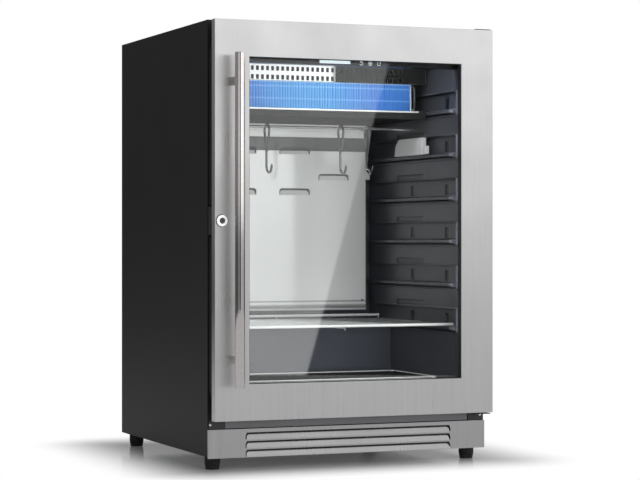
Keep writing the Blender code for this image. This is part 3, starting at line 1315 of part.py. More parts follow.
def make_rear_panel(finishes):
    """The steel air duct cover at the back, with pressed air slots and a rolled lower edge."""
    front = FRONT_Y + REAR_PANEL_DEPTH
    back = FRONT_Y + LINER_BACK_DEPTH - FIT
    half = REAR_PANEL_HALF_WIDTH
    bottom = REAR_PANEL_BOTTOM - PANEL_GROOVE - PANEL_ROLL_RADIUS
    panel = box("rear_air_panel", (-half, half), (front, back), (bottom, REAR_PANEL_TOP),
                finishes["bright_steel"])
    hollow = box("panel_hollow", (SHEET - half, half - SHEET), (front + SHEET, back + OVERRUN),
                 (bottom - OVERRUN, REAR_PANEL_TOP + OVERRUN), cutter=True)
    groove = box("panel_groove", (-half - OVERRUN, half + OVERRUN), (front - OVERRUN, front + SHEET / 2),
                 (REAR_PANEL_BOTTOM - PANEL_GROOVE, REAR_PANEL_BOTTOM), cutter=True)
    places = []
    height = REAR_PANEL_TOP - REAR_PANEL_BOTTOM
    for drop_share, column_shares in AIR_SLOT_ROW_SHARES:
        z = REAR_PANEL_TOP - height * drop_share
        for share in column_shares:
            x = half * share
            places.append(((x - AIR_SLOT_WIDTH / 2, x + AIR_SLOT_WIDTH / 2),
                           (z - AIR_SLOT_HEIGHT / 2, z + AIR_SLOT_HEIGHT / 2), AIR_SLOT_CORNER))
    cut(panel, hollow, groove, *louvre_cuts("panel", places, front, SHEET + SHEET / 2))
    join(panel, *louvre_tabs("panel", places, AIR_SLOT_SLIT / 2, AIR_SLOT_LEAN, front, SHEET))
    roll_y = front + PANEL_ROLL_RADIUS - PANEL_ROLL_PROUD
    roll = round_bar("panel_roll", (-half, roll_y, bottom), (half, roll_y, bottom), PANEL_ROLL_RADIUS,
                     steps=SMALL_STEPS, cutter=True)
    return join(panel, roll)


def make_hanging_rail(finishes):
    """The rail across the cavity, with its ends in the rack walls' sockets."""
    half = RACK_FACE + RAIL_SOCKET_DEPTH - FIT
    y = FRONT_Y + HANG_RAIL_DEPTH
    return round_bar("hanging_rail", (-half, y, HANG_RAIL_HEIGHT), (half, y, HANG_RAIL_HEIGHT),
                     HANG_RAIL_RADIUS,
                     finishes["bright_steel"], steps=SMALL_STEPS)


def make_hook(finishes, name, x):
    """A hook of round wire: a long eye over the rail, a straight shank and a bend at the bottom."""
    y = FRONT_Y + HANG_RAIL_DEPTH
    eye_z = HANG_RAIL_HEIGHT + HANG_RAIL_RADIUS + FIT + HOOK_WIRE_RADIUS - HOOK_EYE_RADIUS
    neck_z = eye_z - HOOK_EYE_LENGTH
    bend_z = neck_z - HOOK_SHANK
    points = [(y - HOOK_NECK_GAP, neck_z)]
    points += arc((y, eye_z), HOOK_EYE_RADIUS, 180 + HOOK_EYE_TAPER, -HOOK_EYE_TAPER, 10)
    points += [(y + HOOK_WIRE_RADIUS, neck_z), (y + HOOK_WIRE_RADIUS, bend_z)]
    points += arc((y + HOOK_WIRE_RADIUS - HOOK_BEND_RADIUS, bend_z), HOOK_BEND_RADIUS, -15, -190, 8)
    path = [(x, along, up) for along, up in points]
    return tube(name, path, HOOK_WIRE_RADIUS, finishes["bright_steel"], origin=(x, y, HANG_RAIL_HEIGHT))


def make_sensor(finishes):
    """The light grey sensor box on the second runner, with a white cap at its front end."""
    low = runner_top(SENSOR_POCKET) + FIT
    front = FRONT_Y + SENSOR_FRONT_DEPTH
    back = front + SENSOR_LENGTH
    height = (HANG_RAIL_HEIGHT - HANG_RAIL_RADIUS - low) * SENSOR_HEIGHT_SHARE
    rise = height * SENSOR_NOSE_SHARE
    high = low + height
    side = [(front, low), (back, low), (back - SENSOR_NOSE_LEAN, low + rise), (back - rise, high),
            (front, high)]
    x = (SENSOR_FACE, RACK_FACE - FIT)
    housing = outline("sensor_housing", [side], x[0], x[1], "X", finishes["grey_plastic"])
    soften(housing, SLACK)
    cap = box("sensor_cap", (SENSOR_FACE + SLACK, x[1] - SLACK),
              (front - FIT - SENSOR_CAP_LENGTH, front - FIT),
              (low + SLACK, low + SLACK + height * SENSOR_CAP_SHARE), finishes["white_plastic"])
    return soften(cap, SLACK)


def make_probe(finishes):
    """The air temperature probe, clipped to the side of the rear panel."""
    x = REAR_PANEL_HALF_WIDTH + FIT + PROBE_CLIP + PROBE_RADIUS
    y = FRONT_Y + REAR_PANEL_DEPTH + PROBE_RADIUS
    low = PROBE_HEIGHT
    high = low + PROBE_LENGTH
    ease = PROBE_RADIUS * PROBE_EASE_SHARE
    profile = [(0, high), (PROBE_RADIUS - ease, high), (PROBE_RADIUS, high - ease),
               (PROBE_RADIUS, low + ease),
               (PROBE_RADIUS - ease, low), (0, low)]
    probe = turned("temperature_probe", profile, (x, y, 0), (0, 0, 1), finishes["grey_plastic"], SMALL_STEPS)
    clip = box("probe_clip", (REAR_PANEL_HALF_WIDTH + FIT, x), (y - PROBE_CLIP, y + PROBE_CLIP),
               (low + PROBE_CLIP, high - PROBE_CLIP), cutter=True)
    return join(probe, clip)


def make_shelf(finishes):
    """The wire shelf: side wires on the lowest runners, cross wires on top, a raised rear stop."""
    front = FRONT_Y + SHELF_FRONT_DEPTH
    back = FRONT_Y + SHELF_BACK_DEPTH
    side_z = runner_top(POCKET_COUNT - 1) + FIT + SHELF_SIDE_RADIUS
    wire_z = side_z + SHELF_SIDE_RADIUS + SHELF_WIRE_RADIUS - SHELF_WELD
    front_z = side_z + SHELF_FRONT_RADIUS / 2
    side_x = SHELF_HALF_WIDTH - SHELF_SIDE_RADIUS - SLACK / 2
    shelf = round_bar("wire_shelf", (-SHELF_HALF_WIDTH, front, front_z), (SHELF_HALF_WIDTH, front, front_z),
                      SHELF_FRONT_RADIUS, finishes["bright_steel"], steps=SMALL_STEPS,
                      origin=(0, front, front_z))
    stop_z = side_z + SHELF_STOP_RISE
    for index, x in enumerate((-side_x, 0, side_x)):
        path = [(x, front + SHELF_WIRE_RADIUS / 2, side_z), (x, back - SHELF_STOP_RISE, side_z),
                (x, back, stop_z)]
        join(shelf, tube(f"shelf_side_{index}", path, SHELF_SIDE_RADIUS, resolution=1, cutter=True))
    count = int((back - SHELF_STOP_RISE - front) / SHELF_WIRE_PITCH)
    run = side_x + SHELF_SIDE_RADIUS / 2
    for index in range(1, count + 1):
        y = front + SHELF_WIRE_PITCH * index
        join(shelf, round_bar(f"shelf_wire_{index}", (-run, y, wire_z), (run, y, wire_z), SHELF_WIRE_RADIUS,
                              steps=WIRE_STEPS, cutter=True))
    return join(shelf,
                round_bar("shelf_stop", (-SHELF_HALF_WIDTH, back, stop_z), (SHELF_HALF_WIDTH, back, stop_z),
                                 SHELF_FRONT_RADIUS, steps=WIRE_STEPS, cutter=True))


def make_tray(finishes):
    """The shallow steel drip tray on the liner's floor."""
    x = (-TRAY_HALF_WIDTH, TRAY_HALF_WIDTH)
    y = (FRONT_Y + TRAY_FRONT_DEPTH, FRONT_Y + TRAY_BACK_DEPTH)
    low = LINER_FLOOR + FIT
    high = low + TRAY_HEIGHT
    body_x = (x[0] + TRAY_RIM, x[1] - TRAY_RIM)
    body_y = (y[0] + TRAY_RIM, y[1] - TRAY_RIM)
    tray = outline("drip_tray", [rounded_rectangle(body_x, body_y, TRAY_CORNER)], low, high, "Z",
                   finishes["bright_steel"])
    rim = outline("tray_rim", [rounded_rectangle(x, y, TRAY_CORNER + TRAY_RIM)], high - TRAY_SHEET, high,
                  "Z",
                  cutter=True)
    inner_x = (body_x[0] + TRAY_SHEET, body_x[1] - TRAY_SHEET)
    inner_y = (body_y[0] + TRAY_SHEET, body_y[1] - TRAY_SHEET)
    hollow = outline("tray_hollow", [rounded_rectangle(inner_x, inner_y, TRAY_CORNER - TRAY_SHEET)],
                     low + TRAY_SHEET, high + OVERRUN, "Z", cutter=True)
    cut(join(tray, rim), hollow)
    return tray


# Machine compartment


def make_compressor(finishes):
    """The hermetic compressor, welded at its waist and to its four-footed mounting plate."""
    x = COMPRESSOR_X
    y = COMPRESSOR_Y
    plate_low = BASE_FLOOR + FIT + GROMMET_HEIGHT
    low = plate_low + MOUNT_SHEET / 2
    high = low + COMPRESSOR_HEIGHT
    radius = COMPRESSOR_RADIUS
    middle = (low + high) / 2
    dome = radius / 2
    profile = [(0, high)]
    profile += arc((radius - dome, high - dome), dome, 75, 0, 4)
    profile += [(radius, middle + COMPRESSOR_SEAM), (radius + COMPRESSOR_SEAM, middle + COMPRESSOR_SEAM),
                (radius + COMPRESSOR_SEAM, middle - COMPRESSOR_SEAM), (radius, middle - COMPRESSOR_SEAM)]
    profile += arc((radius - dome, low + dome), dome, 0, -90, 3)
    profile.append((0, low))
    case = turned("compressor", profile, (x, y, 0), (0, 0, 1), finishes["black_steel"], MIDDLE_STEPS)
    plate = box("compressor_mount", (x - MOUNT_HALF_WIDTH, x + MOUNT_HALF_WIDTH),
                (y - MOUNT_HALF_DEPTH, y + MOUNT_HALF_DEPTH), (plate_low,
                                                               plate_low + MOUNT_SHEET), cutter=True)
    bm = bmesh.new()
    reach_x = MOUNT_HALF_WIDTH - GROMMET_RADIUS - SLACK
    reach_y = MOUNT_HALF_DEPTH - GROMMET_RADIUS - SLACK
    for across in (-reach_x, reach_x):
        for along in (-reach_y, reach_y):
            add_round(bm, (x + across, y + along, BASE_FLOOR + FIT),
                      (x + across, y + along, plate_low + SLACK),
                      GROMMET_RADIUS, steps=SMALL_STEPS)
    join(case, plate, from_bmesh("compressor_feet", bm, cutter=True))
    return high


def make_condenser(finishes):
    """The condenser's fin pack behind the plinth, and its fan."""
    front = FRONT_Y + CONDENSER_FRONT_DEPTH
    back = front + CONDENSER_THICKNESS
    left = CONDENSER_PLACE_X - CONDENSER_HALF_LENGTH
    right = CONDENSER_PLACE_X + CONDENSER_HALF_LENGTH
    plan = fin_outline(left, right, front, back, FIN_DEPTH, CONDENSER_FIN_COUNT)
    low = BASE_FLOOR + FIT
    outline("condenser", [plan], low, low + CONDENSER_HEIGHT, "Z", finishes["aluminium"])
    make_axial_fan(finishes, "condenser_fan", CONDENSER_PLACE_X, back + CONDENSER_FAN_GAP,
                   low + CONDENSER_FAN_HALF_SIZE, CONDENSER_FAN_HALF_SIZE, CONDENSER_FAN_THICKNESS,
                   SMALL_HUB_RADIUS)


def make_water_pan(finishes):
    """The pan in the base where the meltwater evaporates."""
    x = [HALF_WIDTH * share for share in WATER_PAN_X_SHARES]
    back = BACK_Y - WATER_PAN_BACK_GAP
    y = (back - WATER_PAN_LENGTH, back)
    low = BASE_FLOOR + FIT
    high = low + WATER_PAN_HEIGHT
    wall = WATER_PAN_WALL
    pan = box("condensate_pan", x, y, (low, high), finishes["black_plastic"])
    hollow = box("water_hollow", (x[0] + wall, x[1] - wall), (y[0] + wall, y[1] - wall),
                 (low + wall, high + OVERRUN),
                 cutter=True)
    return cut(pan, hollow)


def make_control_box(finishes):
    """The electronics box, hung under the roof of the machine compartment."""
    x = [HALF_WIDTH * share for share in CONTROL_BOX_X_SHARES]
    back = BACK_Y - CONTROL_BOX_BACK_GAP
    y = (back - CONTROL_BOX_LENGTH, back)
    high = MACHINE_TOP - FIT
    item = box("control_box", x, y, (high - CONTROL_BOX_HEIGHT, high), finishes["grey_plastic"])
    return soften(item, SLACK + SLACK)


def make_discharge_pipe(finishes, compressor_top):
    """The hot gas pipe from the compressor to the condenser."""
    x = COMPRESSOR_X
    y = COMPRESSOR_Y
    height = compressor_top - DISCHARGE_DROP
    start = x - COMPRESSOR_RADIUS - FIT
    bend = 3 * PIPE_RADIUS
    end_x = CONDENSER_PLACE_X + CONDENSER_HALF_LENGTH + FIT
    end_y = FRONT_Y + CONDENSER_FRONT_DEPTH + CONDENSER_THICKNESS / 2
    end_z = BASE_FLOOR + CONDENSER_HEIGHT / 2
    outside = start - bend - bend
    route = [(start, y, height), (outside, y, height), (outside, y, end_z), (outside, end_y, end_z),
             (end_x, end_y, end_z)]
    return tube("discharge_pipe", round_corners(route, bend), PIPE_RADIUS, finishes["copper"])


def round_corners(route, radius, steps=4):
    """Replace each inner corner of a route by a smooth bend."""
    points = [Vector(route[0])]
    for before, corner, after in zip(route, route[1:], route[2:]):
        corner = Vector(corner)
        back = (Vector(before) - corner).normalized() * radius
        ahead = (Vector(after) - corner).normalized() * radius
        for index in range(steps + 1):
            share = index / steps
            points.append(corner + back * (1 - share) ** 2 + ahead * share ** 2)
    points.append(Vector(route[-1]))
    return [tuple(point) for point in points]


def make_inlet(finishes):
    """The three-pin power inlet set into the machine cover."""
    z = (INLET_Z - INLET_HALF_HEIGHT, INLET_Z + INLET_HALF_HEIGHT)
    x = (INLET_X - INLET_HALF_WIDTH, INLET_X + INLET_HALF_WIDTH)
    outer = BACK_Y
    inner = SKIN_BACK_Y - INLET_BODY_DEPTH
    inlet = box("power_inlet", x, (inner, outer), z, finishes["black_plastic"])
    flange = box("inlet_flange", (x[0] - INLET_FLANGE, x[1] + INLET_FLANGE),
                 (SKIN_BACK_Y + SHEET + FIT, outer),
                 (z[0] - INLET_FLANGE, z[1] + INLET_FLANGE), cutter=True)
    socket = box("inlet_socket", (x[0] + INLET_WALL, x[1] - INLET_WALL),
                 (inner + INLET_FLOOR, outer + OVERRUN),
                 (z[0] + INLET_WALL, z[1] - INLET_WALL), cutter=True)
    pins = []
    for across, up in ((-INLET_PIN_SPACING, -INLET_PIN_DROP / 2), (INLET_PIN_SPACING, -INLET_PIN_DROP / 2),
                       (0, INLET_PIN_DROP)):
        centre_x = INLET_X + across
        centre_z = INLET_Z + up
        pins.append(((centre_x - INLET_PIN_HALF_WIDTH, centre_x + INLET_PIN_HALF_WIDTH),
                     (inner + INLET_FLOOR / 2, inner + INLET_FLOOR + INLET_PIN_LENGTH),
                     (centre_z - INLET_PIN_HALF_HEIGHT, centre_z + INLET_PIN_HALF_HEIGHT)))
    return join(cut(join(inlet, flange), socket), boxes("inlet_pins", pins, cutter=True))


def build():
    """Build the whole cabinet."""
    clear_scene()
    finishes = make_finishes()
    make_outer_wrap(finishes)
    make_bottom_rail(finishes)
    make_back_panel(finishes)
    make_machine_cover(finishes)
    make_base_tray(finishes)
    make_liner(finishes)
    make_foam(finishes)
    make_rack_wall(finishes, "rack_wall_left", -1)
    make_rack_wall(finishes, "rack_wall_right", 1)
    make_kick_plate(finishes)
    for name, x, y in (("foot_front_left", -FOOT_X, FOOT_FRONT_Y),
                       ("foot_front_right", FOOT_X, FOOT_FRONT_Y),
                       ("foot_back_left", -FOOT_X, FOOT_BACK_Y), ("foot_back_right", FOOT_X, FOOT_BACK_Y)):
        make_foot(finishes, name, x, y)
    make_lower_bracket(finishes)
    make_filler_bracket(finishes)
    make_upper_bracket(finishes)
    make_strike(finishes)

    hinge = pivot("door_pivot", (HINGE_X, HINGE_Y, 0))
    make_door_skin(finishes)
    make_inner_frame(finishes)
    make_gasket(finishes)
    make_panes(finishes)
    make_handle(finishes)
    make_lock(finishes)
    for name in ("door_skin", "door_inner_frame", "door_gasket", "outer_glass", "inner_glass",
                 "glass_spacer", "glazing_bead", "handle_bar", "handle_post_upper", "handle_post_lower",
                 "lock_body", "lock_plug"):
        parent(bpy.data.objects[name], hinge)

    make_fascia(finishes)
    make_evaporator(finishes)
    make_drip_pan(finishes)
    make_grille(finishes)
    make_bulkhead(finishes)
    make_axial_fan(finishes, "evaporator_fan", 0, FRONT_Y + BULKHEAD_DEPTH + BULKHEAD_SHEET + FIT,
                   FAN_CENTRE_Z,
                   FAN_HALF_SIZE, FAN_THICKNESS, HUB_RADIUS)
    make_rear_panel(finishes)
    make_hanging_rail(finishes)
    for index, share in enumerate(HOOK_PLACE_SHARES):
        make_hook(finishes, f"meat_hook_{index + 1}", RACK_FACE * share)
    make_sensor(finishes)
    make_probe(finishes)
    make_shelf(finishes)
    make_tray(finishes)

    compressor_top = make_compressor(finishes)
    make_condenser(finishes)
    make_water_pan(finishes)
    make_control_box(finishes)
    make_discharge_pipe(finishes, compressor_top)
    make_inlet(finishes)


build()
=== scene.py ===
"""Dry aging cabinet: finishes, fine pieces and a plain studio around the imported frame."""
import math

import bpy
import numpy as np
from bpy.props import FloatProperty, FloatVectorProperty, IntProperty, PointerProperty
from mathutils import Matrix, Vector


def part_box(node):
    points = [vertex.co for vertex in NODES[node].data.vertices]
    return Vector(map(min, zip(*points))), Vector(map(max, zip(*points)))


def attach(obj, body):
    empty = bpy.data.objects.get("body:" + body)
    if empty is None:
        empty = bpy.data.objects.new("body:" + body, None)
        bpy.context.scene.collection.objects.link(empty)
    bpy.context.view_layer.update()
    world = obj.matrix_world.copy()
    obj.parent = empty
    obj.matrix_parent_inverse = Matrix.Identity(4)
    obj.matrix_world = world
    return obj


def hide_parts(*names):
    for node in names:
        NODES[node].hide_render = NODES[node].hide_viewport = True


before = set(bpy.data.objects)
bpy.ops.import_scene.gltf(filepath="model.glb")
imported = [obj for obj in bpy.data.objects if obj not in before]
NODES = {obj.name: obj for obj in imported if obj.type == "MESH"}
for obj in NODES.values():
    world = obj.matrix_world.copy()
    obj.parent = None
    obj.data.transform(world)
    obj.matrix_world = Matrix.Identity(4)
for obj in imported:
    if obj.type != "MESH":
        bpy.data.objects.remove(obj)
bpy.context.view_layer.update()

bl_info = {
    "name": "Dry Aging Cabinet Dressing",
    "version": (1, 0, 0),
    "blender": (4, 5, 0),
    "location": "3D View > Sidebar > Cabinet",
    "description": "Finishes, fine pieces and a studio for a glazed dry aging cabinet",
    "category": "Object",
}

PICTURE_WIDTH = 640
FOCAL_PIXELS = 2065.4
SENSOR_WIDTH = 36.0

# The camera that was fitted to the photograph, its turn in degrees, and what the lamps look at
CAMERA_PLACE = (-1.614, -4.012125, 0.447)
CAMERA_TURN = 22.36
CAMERA_LOOK = (0.3804, 0.9248, 0)
LAMP_AIM = (0.0, -0.1, 0.45)

FRONT_Y = -0.283125
FACE_SETBACK = 0.0004
EDGE_WEAR = 0.3
METAL_DUST = (0.3, 0.29, 0.27)
PLASTIC_DUST = (0.28, 0.27, 0.25)
# Painted shade in narrow slots: the black it goes to, and how far the occlusion reaches
SLOT_PAINTED_SHADE = 0.004
SLOT_REACH = 0.006

# The rear panel's painted dark reflection band between two levels, which stands for a channel across it,
# and (level, darkness) stops of painted reflection lines that stand for its rolled lower edge
PANEL_PAINTED_REFLECTION_BAND = (0.6415, 0.6715)
ROLLED_EDGE_PAINTED_LINES = ((0.2926, 1.0), (0.2936, 0.1), (0.2962, 0.1), (0.2985, 0.75), (0.304, 0.62),
               (0.307, 0.1), (0.31, 0.0), (0.3125, 0.6), (0.314, 0.55), (0.3155, 0.0))
TUBE_LEVELS = (0.7364, 0.7614)

# The sky's (height, level) stops, and its (degrees round, level) stops
SKY_RISE = ((-0.02, 0.5), (0.03, 1.3), (0.12, 1.58), (0.3, 1.4), (0.6, 0.65))
SKY_PANELS = ((-52, 1.0), (-42, 1.22), (-3, 1.22), (0, 0.08), (19, 0.08), (22, 0.75), (29, 0.75),
              (33, 0.38), (42, 0.35), (46, 0.8), (51, 0.8), (56, 0.21), (166, 0.21), (180, 0.6))

# The mirrored screen's slanted edge, and the glass faces that a ray may cross on its way to it
SCREEN_EDGE = (0.8904, 0.377, -0.2557)
SCREEN_FLOOR = 0.02
FACES_CROSSED = 6.5
FLOOR_MIRRORED = 0.52
FADE_START = -0.015


# Meshes: every shape below is a grid of points worked out at once from two parameters


def grid_faces(rows, columns, wrap_rows=False, wrap_columns=True):
    """Quads between neighbouring points of a grid stored row by row."""
    i, j = np.meshgrid(np.arange(rows if wrap_rows else rows - 1),
                       np.arange(columns if wrap_columns else columns - 1), indexing="ij")
    below, beside = (i + 1) % rows, (j + 1) % columns
    corners = (i * columns + j, i * columns + beside, below * columns + beside, below * columns + j)
    return np.stack(corners, -1).reshape(-1, 4)


def unit(vectors):
    """Vectors divided by their own lengths."""
    return vectors / np.linalg.norm(vectors, axis=-1, keepdims=True)


def upright_to(axis):
    """A direction that is well off the axis."""
    return (0, 0, 1) if abs(axis[2]) < 0.9 else (1, 0, 0)


def axes(axis):
    """An axis and two directions square to it, all of length one."""
    axis = unit(np.asarray(axis, float))
    across = unit(np.cross(axis, upright_to(axis)))
    return axis, across, np.cross(axis, across)


def turns(count):
    """Even angles all the way round."""
    return np.linspace(0, 2 * np.pi, count, endpoint=False)


def shell(points, closed=False):
    """A grid of points as (points, faces). A closed one joins its last row to the first, and an open
    one gets flat ends."""
    rows, columns = points.shape[:2]
    faces = grid_faces(rows, columns, closed).tolist()
    if not closed:
        ring = np.arange(columns)
        faces += [ring[::-1].tolist(), (ring + (rows - 1) * columns).tolist()]
    return points.reshape(-1, 3), faces


def tube(path, radius, normal, sides=16, closed=False):
    """A round wire. Point (s, a) is path(s) + radius(s) (cos a N + sin a B), where T is the path's
    direction, N is the path's plane normal crossed with T, and B is T crossed with N."""
    path = np.asarray(path, float)
    along = unit(np.roll(path, -1, 0) - np.roll(path, 1, 0) if closed else np.gradient(path, axis=0))
    side = unit(np.cross(normal, along))
    lift = np.cross(along, side)
    turn = turns(sides)[None, :, None]
    size = np.broadcast_to(radius, len(path))[:, None, None]
    ring = np.cos(turn) * side[:, None] + np.sin(turn) * lift[:, None]
    return shell(path[:, None] + size * ring, closed)


def rod(start, end, radius, sides=16):
    """A straight wire with domed ends: radius(t) falls as the root of 1 - t squared at each end."""
    start, end = np.asarray(start, float), np.asarray(end, float)
    length = np.linalg.norm(end - start)
    turn = np.linspace(0.12, np.pi / 2, 5)
    place = radius * (1 - np.cos(turn))
    place = np.concatenate([place, length - place[::-1]])
    size = radius * np.sin(np.concatenate([turn, turn[::-1]]))
    direction = (end - start) / length
    return tube(start + place[:, None] * direction, size, upright_to(direction), sides)


def lathe(profile, centre, axis, sides=48, closed=False):
    """A turned shape. Point (p, a) is centre + h(p) A + r(p) (cos a U + sin a V); the profile's
    (r, h) pairs run up its outer side. A closed profile comes back to its start."""
    radius, height = np.asarray(profile, float).T[:, :, None, None]
    axis, across, upright = axes(axis)
    turn = turns(sides)[None, :, None]
    ring = np.cos(turn) * across + np.sin(turn) * upright
    return shell(np.asarray(centre, float) + height * axis + radius * ring, closed)


def ring_path(half_width, low, high, radius, steps):
    """A rounded rectangle in the XZ plane and its outward directions, both as (points, 3)."""
    turn = (np.arange(4)[:, None] * np.pi / 2 + np.linspace(0, np.pi / 2, steps)).reshape(-1)
    out = np.stack([np.cos(turn), 0 * turn, np.sin(turn)], -1)
    middle = [(side * (half_width - radius), 0, level) for side, level in
              ((1, high - radius), (-1, high - radius), (-1, low + radius), (1, low + radius))]
    return np.repeat(middle, steps, 0) + radius * out, out


def frame_sweep(path, out, profile, closed=True):
    """A moulding. Point (s, p) is path(s) + u(p) outward(s) + v(p) Y."""
    across, depth = np.asarray(profile, float).T[:, None, :, None]
    return shell(path[:, None] + across * out[:, None] + depth * np.array([0, 1.0, 0]), closed)


def rounded_box(low, high, radius):
    """A box with ball corners: each point of a cube is drawn to the inner box and pushed out by
    the radius along what is left."""
    low, high = np.asarray(low, float), np.asarray(high, float)
    half, middle = (high - low) / 2, (high + low) / 2
    corner = radius * np.tan(np.linspace(0, np.pi / 4, 4))
    spans = [np.concatenate([-(h - radius) - corner[::-1], (h - radius) + corner]) for h in half]
    points, faces, start = [], [], 0
    for axis in range(3):
        one, two = (axis + 1) % 3, (axis + 2) % 3
        a, b = np.meshgrid(spans[one], spans[two], indexing="ij")
        for side in (1, -1):
            face = np.zeros(a.shape + (3,))
            face[..., axis], face[..., one], face[..., two] = side * half[axis], a, b
            quads = grid_faces(*a.shape, wrap_columns=False)
            faces.append((quads if side < 0 else quads[:, ::-1]) + start)
            points.append(face.reshape(-1, 3))
            start += a.size
    points, faces = np.concatenate(points), np.concatenate(faces)
    inner = np.clip(points, -(half - radius), half - radius)
    points = inner + radius * unit(points - inner) + middle
    first, index = np.unique(np.round(points, 7), axis=0, return_index=True, return_inverse=True)[1:]
    return points[first], index.reshape(-1)[faces].tolist()


def merged(*shapes):
    """Several (points, faces) shapes as one."""
    offsets = np.cumsum([0] + [len(points) for points, faces in shapes])
    faces = [[corner + int(offset) for corner in face]
             for offset, (points, some) in zip(offsets, shapes) for face in some]
    return np.concatenate([points for points, some in shapes]), faces


def new_object(name, shape):
    """A mesh object of a shape, in the scene."""
    points, faces = shape
    mesh = bpy.data.meshes.new(name)
    mesh.from_pydata(np.asarray(points).tolist(), [], faces)
    item = bpy.data.objects.new(name, mesh)
    bpy.context.scene.collection.objects.link(item)
    return item


def piece(name, shape, finish_name, body, slot, *replaced, smooth=40):
    """Makes a piece of a shape, with its finish, its body and the CAD nodes it stands for."""
    item = new_object(name, shape)
    item.data.validate()
    item.data.materials.append(FINISHES[finish_name])
    item.data.shade_smooth()
    item.data.set_sharp_from_angle(angle=math.radians(smooth))
    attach(item, body)
    if replaced:
        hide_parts(*replaced)
    return item


# Nodes


class Graph:
    """A node tree. Place is the vector that its patterns read, and a material's has its shader too."""

    def __init__(self, tree):
        tree.nodes.clear()
        self.tree, self.place, self.surface = tree, None, None

    def fill(self, item, inputs):
        """Sets a node's inputs. Each takes a value, or a link from another node's socket."""
        for name, value in inputs.items():
            if isinstance(value, bpy.types.NodeSocket):
                self.tree.links.new(value, item.inputs[name])
            else:
                item.inputs[name].default_value = value

    def add(self, kind, inputs=None, **settings):
        """Adds a node with its settings and inputs."""
        item = self.tree.nodes.new(f"ShaderNode{kind}")
        for name, value in settings.items():
            setattr(item, name, value)
        self.fill(item, inputs or {})
        return item

    def calc(self, operation, *values):
        """The result of arithmetic on one or two numbers."""
        return self.add("Math", dict(enumerate(values)), operation=operation).outputs[0]

    def times(self, result, *factors):
        """A product of numbers."""
        for factor in factors:
            result = self.calc("MULTIPLY", result, factor)
        return result

    def vector(self, operation, *values):
        """The result of vector arithmetic; a length and a dot product are numbers."""
        outputs = self.add("VectorMath", dict(enumerate(values)), operation=operation).outputs
        return outputs["Value" if operation in ("LENGTH", "DOT_PRODUCT") else 0]

    def split(self, vector=None):
        """The three parts of a vector."""
        return self.add("SeparateXYZ", {0: vector or self.place}).outputs

    def noise(self, scale, detail, roughness=0.5, vector=None):
        """Noise about 0.5."""
        return self.add("TexNoise", {"Vector": vector or self.place, "Scale": scale, "Detail": detail,
                                     "Roughness": roughness}).outputs[0]

    def cells(self, scale, **settings):
        """The distance to the nearest of scattered points."""
        return self.add("TexVoronoi", {"Vector": self.place, "Scale": scale}, **settings).outputs[0]

    def ramp(self, factor, low, high, start=0.0, end=1.0, **settings):
        """A number that goes from low to high as the factor goes from start to end."""
        return self.add("MapRange", {0: factor, 1: start, 2: end, 3: low, 4: high}, **settings).outputs[0]

    def band(self, value, *stops):
        """A number that runs through (place, level) stops along the value."""
        result = None
        for (start, low), (end, high) in zip(stops, stops[1:]):
            if result is None:
                result = self.ramp(value, low, high, start, end)
            else:
                result = self.calc("ADD", result, self.ramp(value, 0.0, high - low, start, end))
        return result

    def blend(self, factor, first, second):
        """A number between two numbers."""
        return self.add("Mix", {0: factor, 2: first, 3: second}).outputs[0]

    def mix(self, factor, first, second):
        """A colour between two colours, each a link or a tone."""
        first, second = (tone if isinstance(tone, bpy.types.NodeSocket) else (*rgb(tone), 1)
                         for tone in (first, second))
        return self.add("Mix", {0: factor, 6: first, 7: second}, data_type="RGBA").outputs[2]

    def effect(self, name, **values):
        """Places a shared effect with its own values, and gives its outputs."""
        if name not in GROUPS:
            GROUPS[name] = new_group(name)
        return self.add("Group", {"Vector": self.place, **values}, node_tree=GROUPS[name]).outputs

    def worn(self, colour, bright, wear=EDGE_WEAR):
        """A colour with its edges worn bright."""
        return self.mix(self.effect("edge_wear", Amount=wear)[0], colour, bright)

    def dusty(self, colour, dust, tone):
        """A colour under settled dust."""
        return self.mix(self.effect("settled_dust", Amount=dust)[0], colour, tone)

    def dress(self, height, distance, **inputs):
        """Feeds values and links into the shader, and a height as bump."""
        inputs = {label.replace("_", " "): value for label, value in inputs.items()}
        raised = self.add("Bump", {"Height": height, "Distance": distance})
        self.fill(self.surface, {**inputs, "Normal": raised.outputs[0]})

    def show_either(self, share, other):
        """Makes the material a mix of its own shader and another."""
        either = self.add("MixShader", {0: share, 1: self.surface.outputs[0], 2: other.outputs[0]})
        self.fill(self.tree.nodes["Material Output"], {0: either.outputs[0]})


def rgb(tone):
    """A colour as an array; one number is a grey."""
    return np.broadcast_to(np.asarray(tone, float), 3)


# Effects: node groups that several finishes share. Each gives numbers from 0 to 1


def brushed_grain(g, given):
    """Fine straight scratches, which are stretched noise at two scales, and a slow cloud."""
    near = g.vector("MULTIPLY", g.place, given["Stretch"])
    wide = g.vector("MULTIPLY", near, (0.12, 0.12, 0.3))
    both = g.blend(0.45, g.noise(1, 4, 0.7, near), g.noise(1, 3, 0.6, wide))
    return g.ramp(both, 0.0, 1.0, 0.3, 0.7), g.noise(7, 3)


def moulded_grain(g, given):
    """Small cells at the given scale over soft ones, and a slow cloud."""
    soft = g.noise(g.times(given["Scale"], 0.3), 4)
    return g.blend(0.5, g.cells(given["Scale"], feature="SMOOTH_F1"), soft), g.noise(9, 4)


def edge_wear(g, given):
    """Worn edges: where a rounded normal leaves the true one, broken up by noise."""
    rounded = g.add("Bevel", {"Radius": given["Radius"]}, samples=4).outputs[0]
    bent = g.vector("DOT_PRODUCT", rounded, g.add("NewGeometry").outputs["Normal"])
    rough = g.ramp(g.noise(140, 5), 0.15, 1.0, 0.42, 0.6)
    return (g.times(g.ramp(bent, 0.0, 1.0, 0.995, 0.85), rough, given["Amount"]),)


